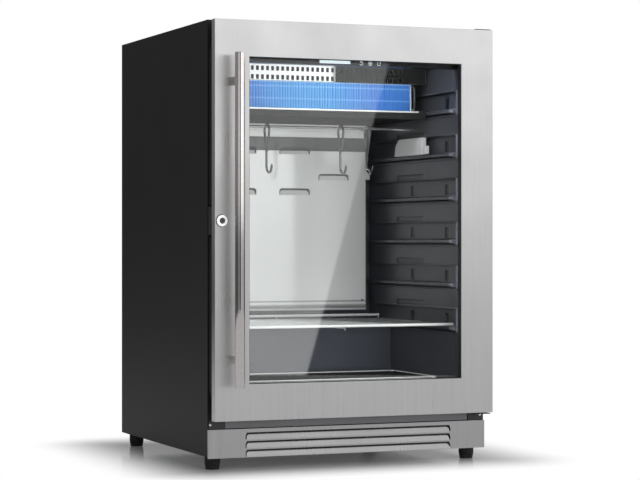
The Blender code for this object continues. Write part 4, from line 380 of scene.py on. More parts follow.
def settled_dust(g, given):
    """Settled dust: faces that look up, in patches."""
    level = g.split(g.add("NewGeometry").outputs["Normal"])[2]
    held = g.ramp(g.noise(60, 6), 0.2, 1.0, 0.35, 0.7)
    return (g.times(g.ramp(level, 0.0, 1.0, 0.5, 1.0), held, given["Amount"]),)


EFFECTS = {
    "brushed_grain": (brushed_grain, {"Stretch": (1600, 1600, 10)}, ("Streak", "Cloud")),
    "moulded_grain": (moulded_grain, {"Scale": 1400.0}, ("Height", "Cloud")),
    "edge_wear": (edge_wear, {"Radius": 0.0012, "Amount": 1.0}, ("Mask",)),
    "settled_dust": (settled_dust, {"Amount": 0.2}, ("Mask",)),
}
GROUPS = {}


def new_group(name):
    """The node group of an effect, with named inputs and outputs."""
    build, inputs, outputs = EFFECTS[name]
    g = Graph(bpy.data.node_groups.new(name, "ShaderNodeTree"))
    for label, default in {"Vector": (0, 0, 0), **inputs}.items():
        kind = "Float" if isinstance(default, float) else "Vector"
        socket = g.tree.interface.new_socket(label, in_out="INPUT", socket_type=f"NodeSocket{kind}")
        socket.default_value = default
    for label in outputs:
        g.tree.interface.new_socket(label, in_out="OUTPUT", socket_type="NodeSocketFloat")
    given, result = g.tree.nodes.new("NodeGroupInput").outputs, g.tree.nodes.new("NodeGroupOutput")
    g.place = given["Vector"]
    g.fill(result, dict(zip(outputs, build(g, given))))
    return g.tree


# Finishes: each look dresses the shader of a new material


def brushed_metal(g, low, high, rough, stretch, anisotropy=0.0, height=0.00002, pressed=False):
    """Steel with straight grain: colour, gloss and height all follow the same scratches. It can take
    painted shade that goes black in its narrow slots."""
    streak, cloud = g.effect("brushed_grain", Stretch=stretch)
    colour = g.worn(g.mix(streak, low, high), np.minimum(rgb(high) * 1.25, 1.0))
    if pressed:
        # Painted shade: where walls close in, the colour goes black
        openness = g.add("AmbientOcclusion", {"Distance": SLOT_REACH}, samples=8).outputs["AO"]
        colour = g.mix(g.ramp(openness, 1.0, 0.0, 0.3, 0.62), colour, SLOT_PAINTED_SHADE)
    gloss = g.calc("ADD", g.ramp(streak, *rough), g.ramp(cloud, -0.04, 0.04, 0.3, 0.7))
    g.dress(streak, height, Base_Color=colour, Roughness=gloss, Metallic=1.0, Anisotropic=anisotropy)


def plain_metal(g, low, high, rough, scale=9.0, height=0.00002, dust=0.0, metallic=1.0, level=0.5,
                shade=None):
    """Polished or plated metal: cloudy tone and gloss, faint fingermarks, brighter edges. It can take
    painted shade, darker past a place along X."""
    cloud = g.noise(scale, 6, 0.6)
    colour = g.mix(cloud, low, high)
    # Painted shade: past the given place along X the colour goes to the given dark tone
    if shade:
        start, tone = shade
        colour = g.mix(g.ramp(g.split()[0], 0.0, 1.0, start - 0.006, start + 0.006), colour, tone)
    colour = g.worn(colour, np.minimum(rgb(high) * 1.2, 1.0))
    g.dress(g.noise(scale * 90, 3), height, Base_Color=g.dusty(colour, dust, METAL_DUST),
            Roughness=g.ramp(cloud, *rough, 0.3, 0.7), Metallic=metallic, Specular_IOR_Level=level)


def panel_steel(g, low, high):
    """Bright smooth panel steel, faintly grained, with a painted dark reflection band across it between
    two levels, standing for a channel, and painted reflection lines standing for a rolled lower edge."""
    streak, level = g.effect("brushed_grain", Stretch=(260, 260, 30))[0], g.split()[2]
    start, end = PANEL_PAINTED_REFLECTION_BAND
    # Painted reflection: the rolled edge's lines and the channel's dark band are put into the base colour
    dark = g.band(level, *ROLLED_EDGE_PAINTED_LINES, (start - 0.0006, 0.0), (start + 0.0006, 0.95),
                  (end - 0.003, 0.92), (end - 0.0005, 0.97), (end + 0.0003, 0.0))
    colour = g.mix(dark, g.mix(streak, low, high), (0.045, 0.045, 0.047))
    g.dress(streak, 0.000004, Base_Color=g.worn(colour, 1.0), Roughness=g.ramp(streak, 0.07, 0.13),
            Metallic=g.ramp(level, 0.3, 0.05, start, end))


def moulded(g, low, high, rough, scale=1400.0, height=0.00006, level=0.5, dust=0.1, wear=EDGE_WEAR):
    """Moulded plastic, rubber or coating: pebbled grain, cloudy tone, scuffed edges, a little dust."""
    pebbles, cloud = g.effect("moulded_grain", Scale=scale)
    colour = g.worn(g.mix(g.ramp(cloud, 0, 1, 0.3, 0.7), low, high), rgb(high) * 2.2 + 0.01, wear)
    g.dress(pebbles, height, Base_Color=g.dusty(colour, dust, PLASTIC_DUST),
            Roughness=g.ramp(pebbles, *rough), Specular_IOR_Level=level)


def relief_plastic(g, low, high):
    """Moulded liner plastic with a painted highlight on its rims and painted shade in its grooves; the
    relief's own attribute says where, from -1 in a groove to 1 on a rim."""
    pebbles, cloud = g.effect("moulded_grain", Scale=1100)
    relief = g.add("Attribute", attribute_name="relief").outputs["Fac"]
    painted_rim_highlight = g.times(g.ramp(relief, 0.0, 1.0), g.ramp(g.noise(90, 5), 0.7, 1.0, 0.35, 0.6))
    # Painted highlight on the rims, then painted shade in the grooves
    colour = g.mix(painted_rim_highlight, g.mix(g.ramp(cloud, 0, 1, 0.3, 0.7), low, high), (0.4, 0.385, 0.46))
    colour = g.mix(g.ramp(relief, 1.0, 0.0, -1.0, 0.0), colour, (0.006, 0.006, 0.007))
    g.dress(pebbles, 0.00003, Base_Color=colour, Roughness=g.ramp(pebbles, 0.26, 0.38))


def clear_glass(g):
    """Float glass: the faintest smears in its tint and a slow waviness. It lets lamp light through."""
    clear = g.mix(g.noise(5, 5, 0.65), (0.975, 0.985, 0.98), (0.99, 0.995, 0.992))
    g.dress(g.noise(3, 1), 0.00002, Base_Color=clear, Roughness=0.0, IOR=1.47, Transmission_Weight=1.0)
    path = g.add("LightPath").outputs
    passing = g.calc("MAXIMUM", path["Is Shadow Ray"], path["Is Diffuse Ray"])
    g.show_either(passing, g.add("BsdfTransparent", {0: clear}))


def lit_panel(g, colour, strength, cell=900.0):
    """A lit plastic window: a fine even cell pattern modulates its glow."""
    glow = g.mix(g.cells(cell), colour, rgb(colour) * 0.86)
    g.fill(g.surface, {"Base Color": glow, "Emission Color": glow, "Emission Strength": strength,
                       "Roughness": 0.3})


def fin_coating(g, low, high):
    """Blue coated aluminium: tone changes from fin to fin, with a painted highlight along the tube collars
    and along the crown of the stack, and a touch greener in the middle."""
    comb = g.effect("brushed_grain", Stretch=(520, 60, 24))[0]
    colour = g.mix(g.ramp(g.blend(0.45, comb, g.noise(14, 2)), 0, 1, 0.25, 0.75), low, high)
    along, inward, height = g.split()
    middle = g.band(along, (-0.17, 0.0), (-0.07, 0.55), (0.03, 0.55), (0.12, 0.0))
    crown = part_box("evaporator_fins")[1].z
    # Painted highlight: pale bands along the tube collars and the crown of the stack
    collars = [(level + rise, pale) for level in TUBE_LEVELS
               for rise, pale in ((-0.0022, 0.0), (-0.0008, 0.3), (0.0008, 0.3), (0.0022, 0.0))]
    pale = g.band(height, *collars, (crown - 0.0026, 0.0), (crown - 0.0012, 0.8))
    colour = g.mix(pale, g.mix(middle, colour, (0.08, 0.38, 0.7)), (0.42, 0.66, 0.98))
    g.dress(comb, 0.00005, Base_Color=colour, Roughness=g.ramp(comb, 0.28, 0.5), Metallic=0.1)


def taped_foam(g):
    """Cream foam with fine open cells, with black tape over its front edge."""
    pores = g.cells(900)
    cream = g.mix(pores, (0.72, 0.62, 0.36), (0.86, 0.78, 0.52))
    tape_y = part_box("insulation_foam")[0].y + 0.02
    taped = g.ramp(g.split()[1], 1.0, 0.0, tape_y, tape_y + 0.001)
    g.dress(pores, 0.0004, Base_Color=g.mix(taped, cream, (0.01, 0.01, 0.011)), Roughness=0.9)


FINISHES = {}


def finish(name, nodes, look, *values, **choices):
    """Makes a material with one Principled shader in the given look, and gives it to the nodes."""
    material = FINISHES[name] = bpy.data.materials.new(name)
    material.use_nodes = True
    g = Graph(material.node_tree)
    g.surface = g.add("BsdfPrincipled")
    g.add("OutputMaterial", {0: g.surface.outputs[0]})
    g.place = g.add("TexCoord").outputs["Object"]
    look(g, *values, **choices)
    for item in nodes.split():
        NODES[item].data.materials.clear()
        NODES[item].data.materials.append(material)


def make_finishes(colours):
    """All finishes of the cabinet. Each line has the name, the nodes, the look and its values: for
    most looks a low and a high tone, a roughness range, a scale and a height."""
    steel = rgb(tuple(colours.steel))
    finish("charcoal_coat", "outer_wrap", moulded, (0.0085, 0.0083, 0.0078), (0.0105, 0.0102, 0.0096),
           (0.42, 0.55), 1900, 0.00003, level=0.25, dust=0.03, wear=0.06)
    finish("door_steel", "door_skin", brushed_metal, steel * 0.86, steel, (0.27, 0.36),
           (1500, 1500, 9), 0.75)
    # The plinth's louvre slots get painted shade
    finish("plinth_steel", "kick_plate", brushed_metal, steel * 0.64, steel * 0.76, (0.27, 0.36),
           (1500, 1500, 9), 0.7, pressed=True)
    finish("mirror_steel", "rear_air_panel", panel_steel, 0.92, 0.96)
    finish("handle_steel", "handle_bar handle_post_upper handle_post_lower", brushed_metal,
           (0.66, 0.62, 0.61), (0.78, 0.75, 0.74), (0.06, 0.1), (900, 900, 700), 0.0, 0.000003)
    finish("chrome", "hanging_rail wire_shelf", plain_metal, (0.72, 0.725, 0.73), (0.84, 0.845, 0.85),
           (0.08, 0.16), metallic=0.85)
    finish("pan_steel", "evaporator_drip_pan drip_tray", moulded, 0.02, 0.032, (0.5, 0.65), 700,
           0.00002, level=0.04, dust=0.0, wear=0.9)
    finish("zinc_sheet", "back_panel machine_cover base_tray", plain_metal, (0.34, 0.35, 0.36),
           (0.52, 0.53, 0.55), (0.32, 0.5), 45.0, 0.00003, dust=0.25)
    finish("grey_rail", "bottom_front_rail", plain_metal, (0.15, 0.15, 0.16), (0.22, 0.22, 0.23),
           (0.35, 0.48), 14.0)
    finish("lock_metal", "lock_body", plain_metal, 0.74, 0.84, (0.22, 0.32), 60.0, metallic=0.2)
    finish("plug_metal", "lock_plug", plain_metal, 0.09, 0.16, (0.25, 0.4), 90.0)
    # The lock strike takes this black as painted shade: it sits in the dark slot of the flange
    finish("bracket_black", "lower_hinge_bracket upper_hinge_bracket left_filler_bracket lock_strike",
           moulded, 0.01, 0.018, (0.35, 0.5), 1500, 0.00004, dust=0.06, wear=0.5)
    finish("compressor_black", "compressor", moulded, (0.009, 0.009, 0.01), (0.016, 0.016, 0.017),
           (0.22, 0.38), 500, 0.00008, dust=0.35)
    finish("black_plastic", "door_inner_frame fan_bulkhead evaporator_fan_frame evaporator_fan_rotor "
           "condenser_fan_frame condenser_fan_rotor condensate_pan power_inlet", moulded,
           (0.008, 0.008, 0.009), (0.013, 0.013, 0.014), (0.5, 0.65), level=0.12, dust=0.02, wear=0.1)
    finish("fascia_black", "control_fascia", moulded, (0.013, 0.013, 0.014), (0.019, 0.019, 0.02),
           (0.26, 0.36), 900, 0.00001, level=0.3)
    finish("liner_plastic", "liner_tub rack_wall_left rack_wall_right", moulded,
           (0.066, 0.071, 0.089), (0.086, 0.091, 0.114), (0.26, 0.38), 1100, 0.00003, dust=0.02,
           wear=0.35)
    finish("rack_plastic", "", relief_plastic, (0.064, 0.066, 0.078), (0.082, 0.085, 0.1))
    finish("grey_plastic", "sensor_housing temperature_probe control_box", moulded, 0.76, 0.84,
           (0.35, 0.5), dust=0.03, wear=0.05)
    finish("white_plastic", "sensor_cap", moulded, 0.86, (0.93, 0.93, 0.92), (0.3, 0.45), dust=0.03,
           wear=0.05)
    # The grille's right part, past x = 0.0297, gets painted shade
    finish("vent_steel", "vent_grille", plain_metal, 0.82, 0.92, (0.16, 0.24), metallic=0.0, level=0.2,
           shade=(0.0297, 0.016))
    finish("tray_steel", "evaporator_end_left evaporator_end_right", plain_metal, 0.9, 0.97,
           (0.12, 0.2), metallic=0.2)
    finish("hook_steel", "meat_hook_1 meat_hook_2 meat_hook_3", plain_metal, (0.34, 0.33, 0.32),
           (0.46, 0.45, 0.44), (0.14, 0.24), 40.0)
    finish("gasket_rubber", "door_gasket glazing_bead", moulded, (0.012, 0.012, 0.013),
           (0.021, 0.021, 0.022), (0.5, 0.68), 2200, 0.00004, dust=0.08, wear=0.15)
    finish("foot_rubber", "foot_front_left foot_front_right foot_back_left foot_back_right", moulded,
           (0.005, 0.005, 0.006), (0.01, 0.01, 0.011), (0.42, 0.6), 1700, 0.00006, level=0.2,
           dust=0.05, wear=0.2)
    finish("glass", "outer_glass inner_glass", clear_glass)
    finish("blue_fins", "evaporator_fins", fin_coating, tuple(colours.fins_low),
           tuple(colours.fins_high))
    finish("aluminium", "condenser glass_spacer", plain_metal, (0.62, 0.63, 0.65), (0.76, 0.77, 0.79),
           (0.25, 0.4), 30.0)
    finish("copper", "return_bend discharge_pipe", plain_metal, (0.62, 0.29, 0.17),
           (0.8, 0.42, 0.26), (0.2, 0.42), 25.0, dust=0.1)
    finish("foam", "insulation_foam", taped_foam)
    finish("display", "display_window", lit_panel, (0.62, 0.7, 0.74), 0.68)
    finish("key_light", "", lit_panel, (0.7, 0.74, 0.76), 0.8)
    finish("lamp_lens", "light_bar", lit_panel, (0.95, 0.97, 1.0), 24.0, 500.0)


# Fine pieces


def arc(centre, radius, start, end, steps):
    """Points (a, b) of an arc about a centre, from one angle to another, in degrees."""
    turn = np.radians(np.linspace(start, end, steps))
    return np.stack([centre[0] + radius * np.cos(turn), centre[1] + radius * np.sin(turn)], -1)


def eased(distance, width):
    """0 outside an edge and 1 inside it, with an S curve of the given width between them."""
    share = np.clip(distance / width + 0.5, 0, 1)
    return share * share * (3 - 2 * share)


def inside(y, z, span_y, span_z, radius):
    """How far each point lies inside a rounded rectangle; outside it the number is negative."""
    over = [np.abs(place - (span[0] + span[1]) / 2) - (span[1] - span[0]) / 2 + radius
            for place, span in ((y, span_y), (z, span_z))]
    out = np.hypot(np.maximum(over[0], 0), np.maximum(over[1], 0))
    return radius - out - np.minimum(np.maximum(over[0], over[1]), 0)


def grid_lines(low, high, edges, gap):
    """Sorted places from low to high: five across each edge, and others no further apart than the gap."""
    close = (np.asarray(edges)[:, None] + 0.0003 * np.arange(-2, 3)).reshape(-1)
    close = np.concatenate([[low, high], close[(close > low + 0.0001) & (close < high - 0.0001)]])
    plain = np.linspace(low, high, int((high - low) / gap) + 1)
    nearest = np.abs(plain[:, None] - close[None]).min(1)
    return np.unique(np.concatenate([close, plain[nearest > gap * 0.45]]).round(6))


def rack_wall_shape(side):
    """A side wall as a relief: across(y, z) starts at the flat of the wall, comes forward on a rim
    round each pocket and on the runner's ledge, and goes back in pockets, long hollows and slots. Each
    is a rounded rectangle's inside distance drawn through an S curve."""
    low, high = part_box("rack_wall_right")
    runner_x = low.x
    flat_x, rim_x, pocket_x = runner_x + 0.0085, runner_x + 0.0046, runner_x + 0.0166
    first_floor, tier_drop, pocket_height = 0.704, 0.0889, 0.046
    pocket_y, runner_y, nose_end = FRONT_Y + 0.064, FRONT_Y + 0.072, FRONT_Y + 0.086
    step_y, step_z = FRONT_Y + 0.3947, 0.2618
    floors = first_floor - tier_drop * np.arange(6)
    pill_y, pill_z = (-0.056, 0.0789), (pocket_height + 0.0034, pocket_height + 0.0138)
    slots_y, slot_half, slot_z = (-0.153, 0.015), 0.0085, (0.0138, 0.0365)
    rises = np.array([-0.003, 0, 0.0024, 0.0036, 0.0104, *slot_z, pocket_height, *pill_z])
    rows = grid_lines(low.z, high.z, np.append((floors[:, None] + rises).reshape(-1), step_z), 0.004)
    pill_ends = [place + np.arange(0, 0.0065, 0.001) * turn for place, turn in zip(pill_y, (1, -1))]
    slot_edges = [place + offset for place in slots_y for offset in (-slot_half, slot_half)]
    edges = [pocket_y - 0.003, pocket_y, pocket_y + 0.004, pocket_y + 0.01, runner_y, nose_end, step_y]
    columns = grid_lines(low.y, high.y, np.concatenate([edges, *pill_ends, slot_edges]), 0.0065)
    z, y = np.meshgrid(rows, columns, indexing="ij")

    def tiers(span_y, span_z, radius, levels=floors):
        """How far each point lies inside the nearest of like rectangles, one over each floor."""
        return np.max([inside(y, z, span_y, (floor + span_z[0], floor + span_z[1]), radius)
                       for floor in levels], 0)

    pocket = tiers((pocket_y, 1.0), (0, pocket_height), 0.004)
    pill = tiers(pill_y, pill_z, 0.0051, floors[1:])
    filled = tiers(pill_y, pill_z, 0.0051, floors[1:2])
    ledge = tiers((runner_y, 1.0), (0.003, 0.011), 0.0015)
    nose = tiers((runner_y, nose_end), (0.001, 0.012), 0.0025)
    slot = np.maximum(*[tiers((place - slot_half, place + slot_half), slot_z, 0.002)
                        for place in slots_y])
    slope = np.clip((y - pocket_y) / 0.01, 0, 1)
    depth = flat_x + (rim_x - flat_x) * eased(pocket + 0.003, 0.0012)
    depth += (pocket_x - rim_x) * eased(pocket, 0.0012) * slope
    depth += 0.0016 * eased(slot, 0.0008) + 0.003 * eased(pill, 0.0012)
    depth += (rim_x - 0.0012 - depth) * eased(nose, 0.0024)
    depth += (runner_x - depth) * eased(ledge, 0.0026)
    depth += (rim_x - depth) * eased(0.0022 - (y - low.y), 0.0012)

    # The relief tone for painted light: 1 for a painted highlight on the rims round the pockets and on the
    # runner's nose, down to -1 for painted shade in the slots, along the pocket and pill outlines and in
    # the filled pill
    rim = eased(pocket + 0.0034, 0.0012) * (1 - eased(pocket - 0.0006, 0.0008))
    relief = rim * (1 - eased(y - pocket_y - 0.002, 0.005)) + 0.9 * eased(nose + 0.0004, 0.0016)
    line = [eased(place + 0.0002, 0.001) * (1 - eased(place - 0.0016, 0.001)) for place in (pocket, pill)]
    groove = eased(slot, 0.001) + 0.85 * line[0] + 0.7 * line[1] + 0.9 * eased(filled, 0.001)
    relief = np.clip(relief, 0, 1) - np.clip(groove * (y > pocket_y + 0.004), 0, 1)

    last_row, last_column = len(rows) - 1, len(columns) - 1
    step_row, step_column = np.abs(rows - step_z).argmin(), np.abs(columns - step_y).argmin()
    i, j = np.meshgrid(np.arange(last_row), np.arange(last_column), indexing="ij")
    kept = ((i >= step_row) | (j < step_column)).reshape(-1)
    quads = grid_faces(last_row + 1, last_column + 1, wrap_columns=False)[kept]
    corners = np.array([(0, 0), (0, step_column), (step_row, step_column), (step_row, last_column),
                        (last_row, last_column), (last_row, 0), (0, 0)])
    loop = np.concatenate([np.linspace(start, end, abs(end - start).max(), endpoint=False)
                           for start, end in zip(corners, corners[1:])]).round().astype(int)
    ring = loop[:, 0] * (last_column + 1) + loop[:, 1]
    front = np.stack([depth, y, z], -1).reshape(-1, 3)
    rear = front[ring] * (0, 1, 1) + (high.x, 0, 0)
    outer = np.arange(len(ring)) + len(front)
    skirt = np.stack([ring, np.roll(ring, -1), np.roll(outer, -1), outer], -1)
    used = np.unique(np.concatenate([quads.reshape(-1), ring, outer]))
    renumber = np.zeros(len(front) + len(rear), int)
    renumber[used] = np.arange(len(used))
    faces = [renumber[face].tolist() for face in (*quads[:, ::-1], *skirt, outer)]
    tone = np.append(relief.reshape(-1), np.zeros(len(ring)))[used]
    points = np.concatenate([front, rear])[used]
    if side < 0:
        return points * (-1, 1, 1), [face[::-1] for face in faces], tone
    return points, faces, tone


def in_plane(x, flat):
    """Points (y, z) at one place along X."""
    return np.column_stack([np.full(len(flat), x), flat])


def shelf_shape(pitch):
    """The wire shelf as its two end rods, and its runners that turn up at the back with the cross
    wires."""
    low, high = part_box("wire_shelf")
    front_radius, side_radius, wire_radius = 0.003, 0.0025, 0.0014
    side_x, side_z = high.x - side_radius - 0.0005, low.z + side_radius
    front_y, back_y = low.y + front_radius, high.y - front_radius
    front_z, stop_z = side_z + front_radius / 2, high.z - front_radius
    wire_z = side_z + side_radius + wire_radius - 0.0017
    rods = [rod((low.x, front_y, front_z), (high.x, front_y, front_z), front_radius, 24),
            rod((low.x, back_y, stop_z), (high.x, back_y, stop_z), front_radius, 20)]
    rise = stop_z - side_z
    bend = arc((back_y - rise, side_z + rise), rise, -90, -35, 8)
    flat = np.concatenate([[(front_y + wire_radius / 2, side_z)], bend, [(back_y, stop_z)]])
    parts = [tube(in_plane(x, flat), side_radius, (1, 0, 0)) for x in side_x * np.linspace(-1, 1, 5)]
    reach = side_x + side_radius / 2
    count = int((back_y - rise - front_y) / pitch)
    parts += [rod((-reach, y, wire_z), (reach, y, wire_z), wire_radius, 12)
              for y in front_y + pitch * np.arange(1, count + 1)]
    return merged(*rods), merged(*parts)


def tray_rim_shape():
    """The tray's rolled rim: a round wire on a rounded rectangle in the XY plane."""
    low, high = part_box("drip_tray")
    radius = 0.0025
    flat = ring_path(high.x - radius, low.y + radius, high.y - radius, 0.012, 8)[0]
    path = np.column_stack([flat[:, 0], flat[:, 2], np.full(len(flat), high.z - 0.0004)])
    return tube(path, radius, (0, 0, 1), 14, closed=True)


def shelf_clip_shape():
    """A small bent clip under the shelf's front rod."""
    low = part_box("wire_shelf")[0]
    start = np.array([-0.033, low.y + 0.004, low.z + 0.0016])
    end = np.array([0.003, low.y + 0.004, low.z - 0.0004])
    return merged(rod(start, end, 0.001, 10), rod(end, end - (0, 0, 0.0052), 0.0016, 12))


def hook_shape(name):
    """A hook of round wire: a long eye over the rail, a straight shank and an open bend."""
    low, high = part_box(name)
    rail_low, rail_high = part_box("hanging_rail")
    x, y = (low.x + high.x) / 2, (rail_low.y + rail_high.y) / 2
    wire, eye, neck_gap, bend, neck, shank = 0.0024, 0.0135, 0.0036, 0.015, 0.042, 0.03
    eye_z = high.z - wire - eye
    neck_z = eye_z - neck
    top = arc((y, eye_z), eye, 194, -14, 36)
    foot = arc((y + wire - bend, neck_z - shank), bend, 0, -190, 36)
    path = in_plane(x, np.concatenate([[(y - neck_gap, neck_z)], top, [(y + wire, neck_z)], foot]))
    size = np.full(len(path), wire)
    size[-4:] *= (0.92, 0.78, 0.55, 0.22)
    return tube(path, size, (1, 0, 0), 20)


def handle_shape():
    """The bar: a turned tube with rolled ends, a fine line in each end."""
    low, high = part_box("handle_bar")
    centre = ((low.x + high.x) / 2, (low.y + high.y) / 2, 0)
    radius, ease, line = (high.x - low.x) / 2, 0.0011, 0.0008
    foot = arc((radius - ease, low.z + ease), ease, -90, 0, 6)
    crown = arc((radius - ease, high.z - ease), ease, 0, 90, 6)
    start = [(radius * 0.72, low.z + line), (radius * 0.76, low.z)]
    end = [(radius * 0.76, high.z), (radius * 0.72, high.z - line)]
    return lathe(np.concatenate([start, foot, crown, end]), centre, (0, 0, 1), 72)


def fin_shapes(count):
    """The fin stack: upright blades, each with a bowed front flange that nearly meets the next one.
    A blade is one closed section in the XY plane run from the lowest to the highest level."""
    low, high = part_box("evaporator_fins")
    pitch = (high.x - low.x) / count
    thick, flange = 0.0003, pitch * 0.42
    places = low.x + pitch * (np.arange(count) + 0.5)
    across = np.array([-1, -0.5, 0, 0.5, 1])
    front = np.column_stack([flange * across, low.y + 0.0007 * across ** 2])
    rear = front[::-1] + (0, 0.0004)
    root = rear[1, 1]
    section = np.concatenate([front, rear[:2], [(thick, root), (thick, high.y), (-thick, high.y),
                                                (-thick, root)], rear[3:]])
    points = np.zeros((count, 2, len(section), 3))
    points[..., 0] = places[:, None, None] + section[:, 0]
    points[..., 1] = section[:, 1]
    points[..., 2] = np.array([low.z, high.z])[None, :, None]
    return merged(*[shell(blade) for blade in points])


def coil_tubes():
    """The straight tubes that run through the fins, in two rows."""
    low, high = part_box("evaporator_fins")
    return merged(*[rod((low.x, low.y + inward, low.z + rise), (high.x, low.y + inward, low.z + rise),
                        0.004, 20) for inward in (0.012, 0.037, 0.062) for rise in (0.0122, 0.0364)])


def bend_shape():
    """The return bend outside the end plate. Its path is half of a squared-off oval: across(t) and
    rise(t) are the 0.3 powers of cos t and sin t."""
    low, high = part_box("return_bend")
    radius = (high.y - low.y) / 2
    turn = np.linspace(-np.pi / 2, np.pi / 2, 61)
    across, rise = np.abs(np.stack([np.cos(turn), np.sin(turn)])) ** 0.3
    path = np.column_stack([low.x + (high.x - radius - low.x) * across,
                            np.full(61, (low.y + high.y) / 2),
                            (low.z + high.z) / 2 + ((high.z - low.z) / 2 - radius) * np.sign(turn) * rise])
    return tube(path, radius, (0, 1, 0), 20)


def glass_path(inset):
    """A path round the glass, at a distance outside its edge."""
    low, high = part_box("outer_glass")
    return ring_path(high.x + inset, low.z - inset, high.z + inset, 0.002, 6)


def door_moulding_shape():
    """The black moulding behind the steel: a ring round the glass, and a second one outside it that
    is left open at the left, where the lock's cam turns. A groove for the seal runs between them."""
    low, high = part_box("door_inner_frame")
    near, far, gap = low.y + 0.0002, high.y, 0.0012
    groove, back = far - 0.0037, near + 0.0168
    inner = frame_sweep(*glass_path(gap), [
        (0, near), (0.0318, near), (0.0318, groove), (0.0288, groove), (0.0288, far), (0.001, far),
        (0, far - 0.001)])
    path, out = (np.roll(part, -12, axis=0) for part in glass_path(gap))
    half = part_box("outer_glass")[1].x + gap
    path = np.concatenate([[(-half, 0, 0.453)], path, [(-half, 0, 0.515)]])
    out = np.concatenate([[(-1, 0, 0)], out, [(-1, 0, 0)]])
    outer = frame_sweep(path, out, [
        (0.0321, back), (0.0578, back), (0.0578, far - 0.001), (0.0568, far), (0.044, far),
        (0.044, groove), (0.0321, groove)], closed=False)
    return merged(inner, outer)


def gasket_shape():
    """The door seal: a magnet tube in front of a folded bellows, swept round the door. Its profile is
    half widths against depth shares, mirrored."""
    low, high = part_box("door_gasket")
    path, out = ring_path(high.x - 0.007, low.z + 0.007, high.z - 0.007, 0.004, 8)
    side = np.array([(0.55, 0), (0.55, 0.16), (0.98, 0.24), (0.98, 0.34), (0.52, 0.42), (0.52, 0.5),
                     (0.9, 0.58), (0.98, 0.66), (0.98, 0.9), (0.86, 1)]) * (0.0069, high.y - low.y)
    return frame_sweep(path, out, np.concatenate([side, side[::-1] * (-1, 1)]) + (0, low.y))


def foot_shape(name):
    """A levelling foot: a ribbed pad, a waist, a collar and a threaded stud. The thread is a cosine
    on the stud's radius."""
    low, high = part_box(name)
    radius, stud, thread, top = (high.x - low.x) / 2, 0.004, 0.00045, 0.0267
    level = np.linspace(top, high.z - 0.0012, 150)
    thread = stud - thread + thread * np.cos(2 * np.pi * (level - top) / 0.00125)
    pad = np.array([
        (0.0034, 0.0), (0.0022, 0.0004), (0.0004, 0.0098), (0, 0.0105), (0.0012, 0.0108),
        (0.0012, 0.0113), (0, 0.0117), (0, 0.016), (0.0006, 0.0164), (0, 0.0168), (0, 0.0212),
        (0.0006, 0.0216), (0, 0.022), (0, top - 0.0006), (0.0006, top)]) * (-1, 1) + (radius, 0)
    profile = np.concatenate([pad, [(stud, top)], np.column_stack([thread, level]),
                              [(stud - 0.001, high.z)]])
    return lathe(profile, ((low.x + high.x) / 2, (low.y + high.y) / 2, 0), (0, 0, 1), 56)


def screw_shape(place, axis, radius, height):
    """A cross-head screw: a dome over the radius, less a tapering cross, as a height over a disc."""
    share = np.concatenate([np.linspace(0.02, 0.9, 16), [0.96, 1.0]])
    r, a = np.meshgrid(share, turns(48), indexing="ij")
    dome = height * np.sqrt(np.clip(1 - 0.86 * r ** 2, 0, 1))
    u, v = np.abs(r * np.cos(a)), np.abs(r * np.sin(a))
    slot = np.minimum(np.maximum(u * 4.4, v), np.maximum(v * 4.4, u))
    depth = 0.75 * height * np.clip((0.62 - slot) * 7, 0, 1)
    up = np.concatenate([dome - depth, np.zeros((1, 48))])[..., None]
    r, a = np.concatenate([r, np.ones((1, 48))])[..., None], np.concatenate([a, a[:1]])[..., None]
    axis, across, upright = axes(axis)
    flat = radius * r * (np.cos(a) * across + np.sin(a) * upright)
    return shell((np.asarray(place, float) + flat + up * axis)[::-1])


def ring_shape(centre, inner, outer, y, thick):
    """A flat ring with round edges about an axis along Y: a lathe of an oval profile."""
    turn = turns(16)
    profile = np.column_stack([(inner + outer) / 2 + (outer - inner) / 2 * np.cos(turn),
                               thick * np.sin(turn)])
    return lathe(profile, (centre[0], y, centre[1]), (0, -1, 0), 48, closed=True)


def icon_shapes():
    """The three touch keys: an open ring, a ring round a drop, and a slanted crescent with a dot."""
    y, z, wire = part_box("control_fascia")[0].y + FACE_SETBACK, 0.7993, 0.00045
    first, second, third = 0.0294, 0.049, 0.068
    shapes = []
    for x, radius, start, end in ((first, 0.0034, 210, 510), (second, 0.0036, 0, 360),
                                  (third, 0.0034, 120, 330)):
        closed = end - start == 360
        flat = arc((x, z), radius, start, end, 40)[:-1 if closed else None]
        path = np.column_stack([flat[:, 0], np.full(len(flat), y), flat[:, 1]])
        shapes.append(tube(path, wire, (0, 1, 0), 8, closed))
    shapes.append(rod((first, y, z + 0.0012), (first, y, z + 0.004), wire, 8))
    shapes.append(lathe([(0.0002, -0.0016), (0.0013, -0.0008), (0.0011, 0.0004), (0.0002, 0.0018)],
                        (second, y, z), (0, 0, 1), 12))
    shapes.append(rod((0.0704, y, z + 0.0004), (0.0716, y, z + 0.0036), wire * 1.6, 8))
    return merged(*shapes)


# Settings


def power(name, description, default):
    return FloatProperty(name=name, description=description, default=default, min=0.0,
                         subtype="POWER", unit="POWER")


def distance(name, description, default):
    return FloatProperty(name=name, description=description, default=default, subtype="DISTANCE",
                         unit="LENGTH")


def colour(name, description, default):
    return FloatVectorProperty(name=name, description=description, default=default, min=0.0, max=1.0,
                               subtype="COLOR")


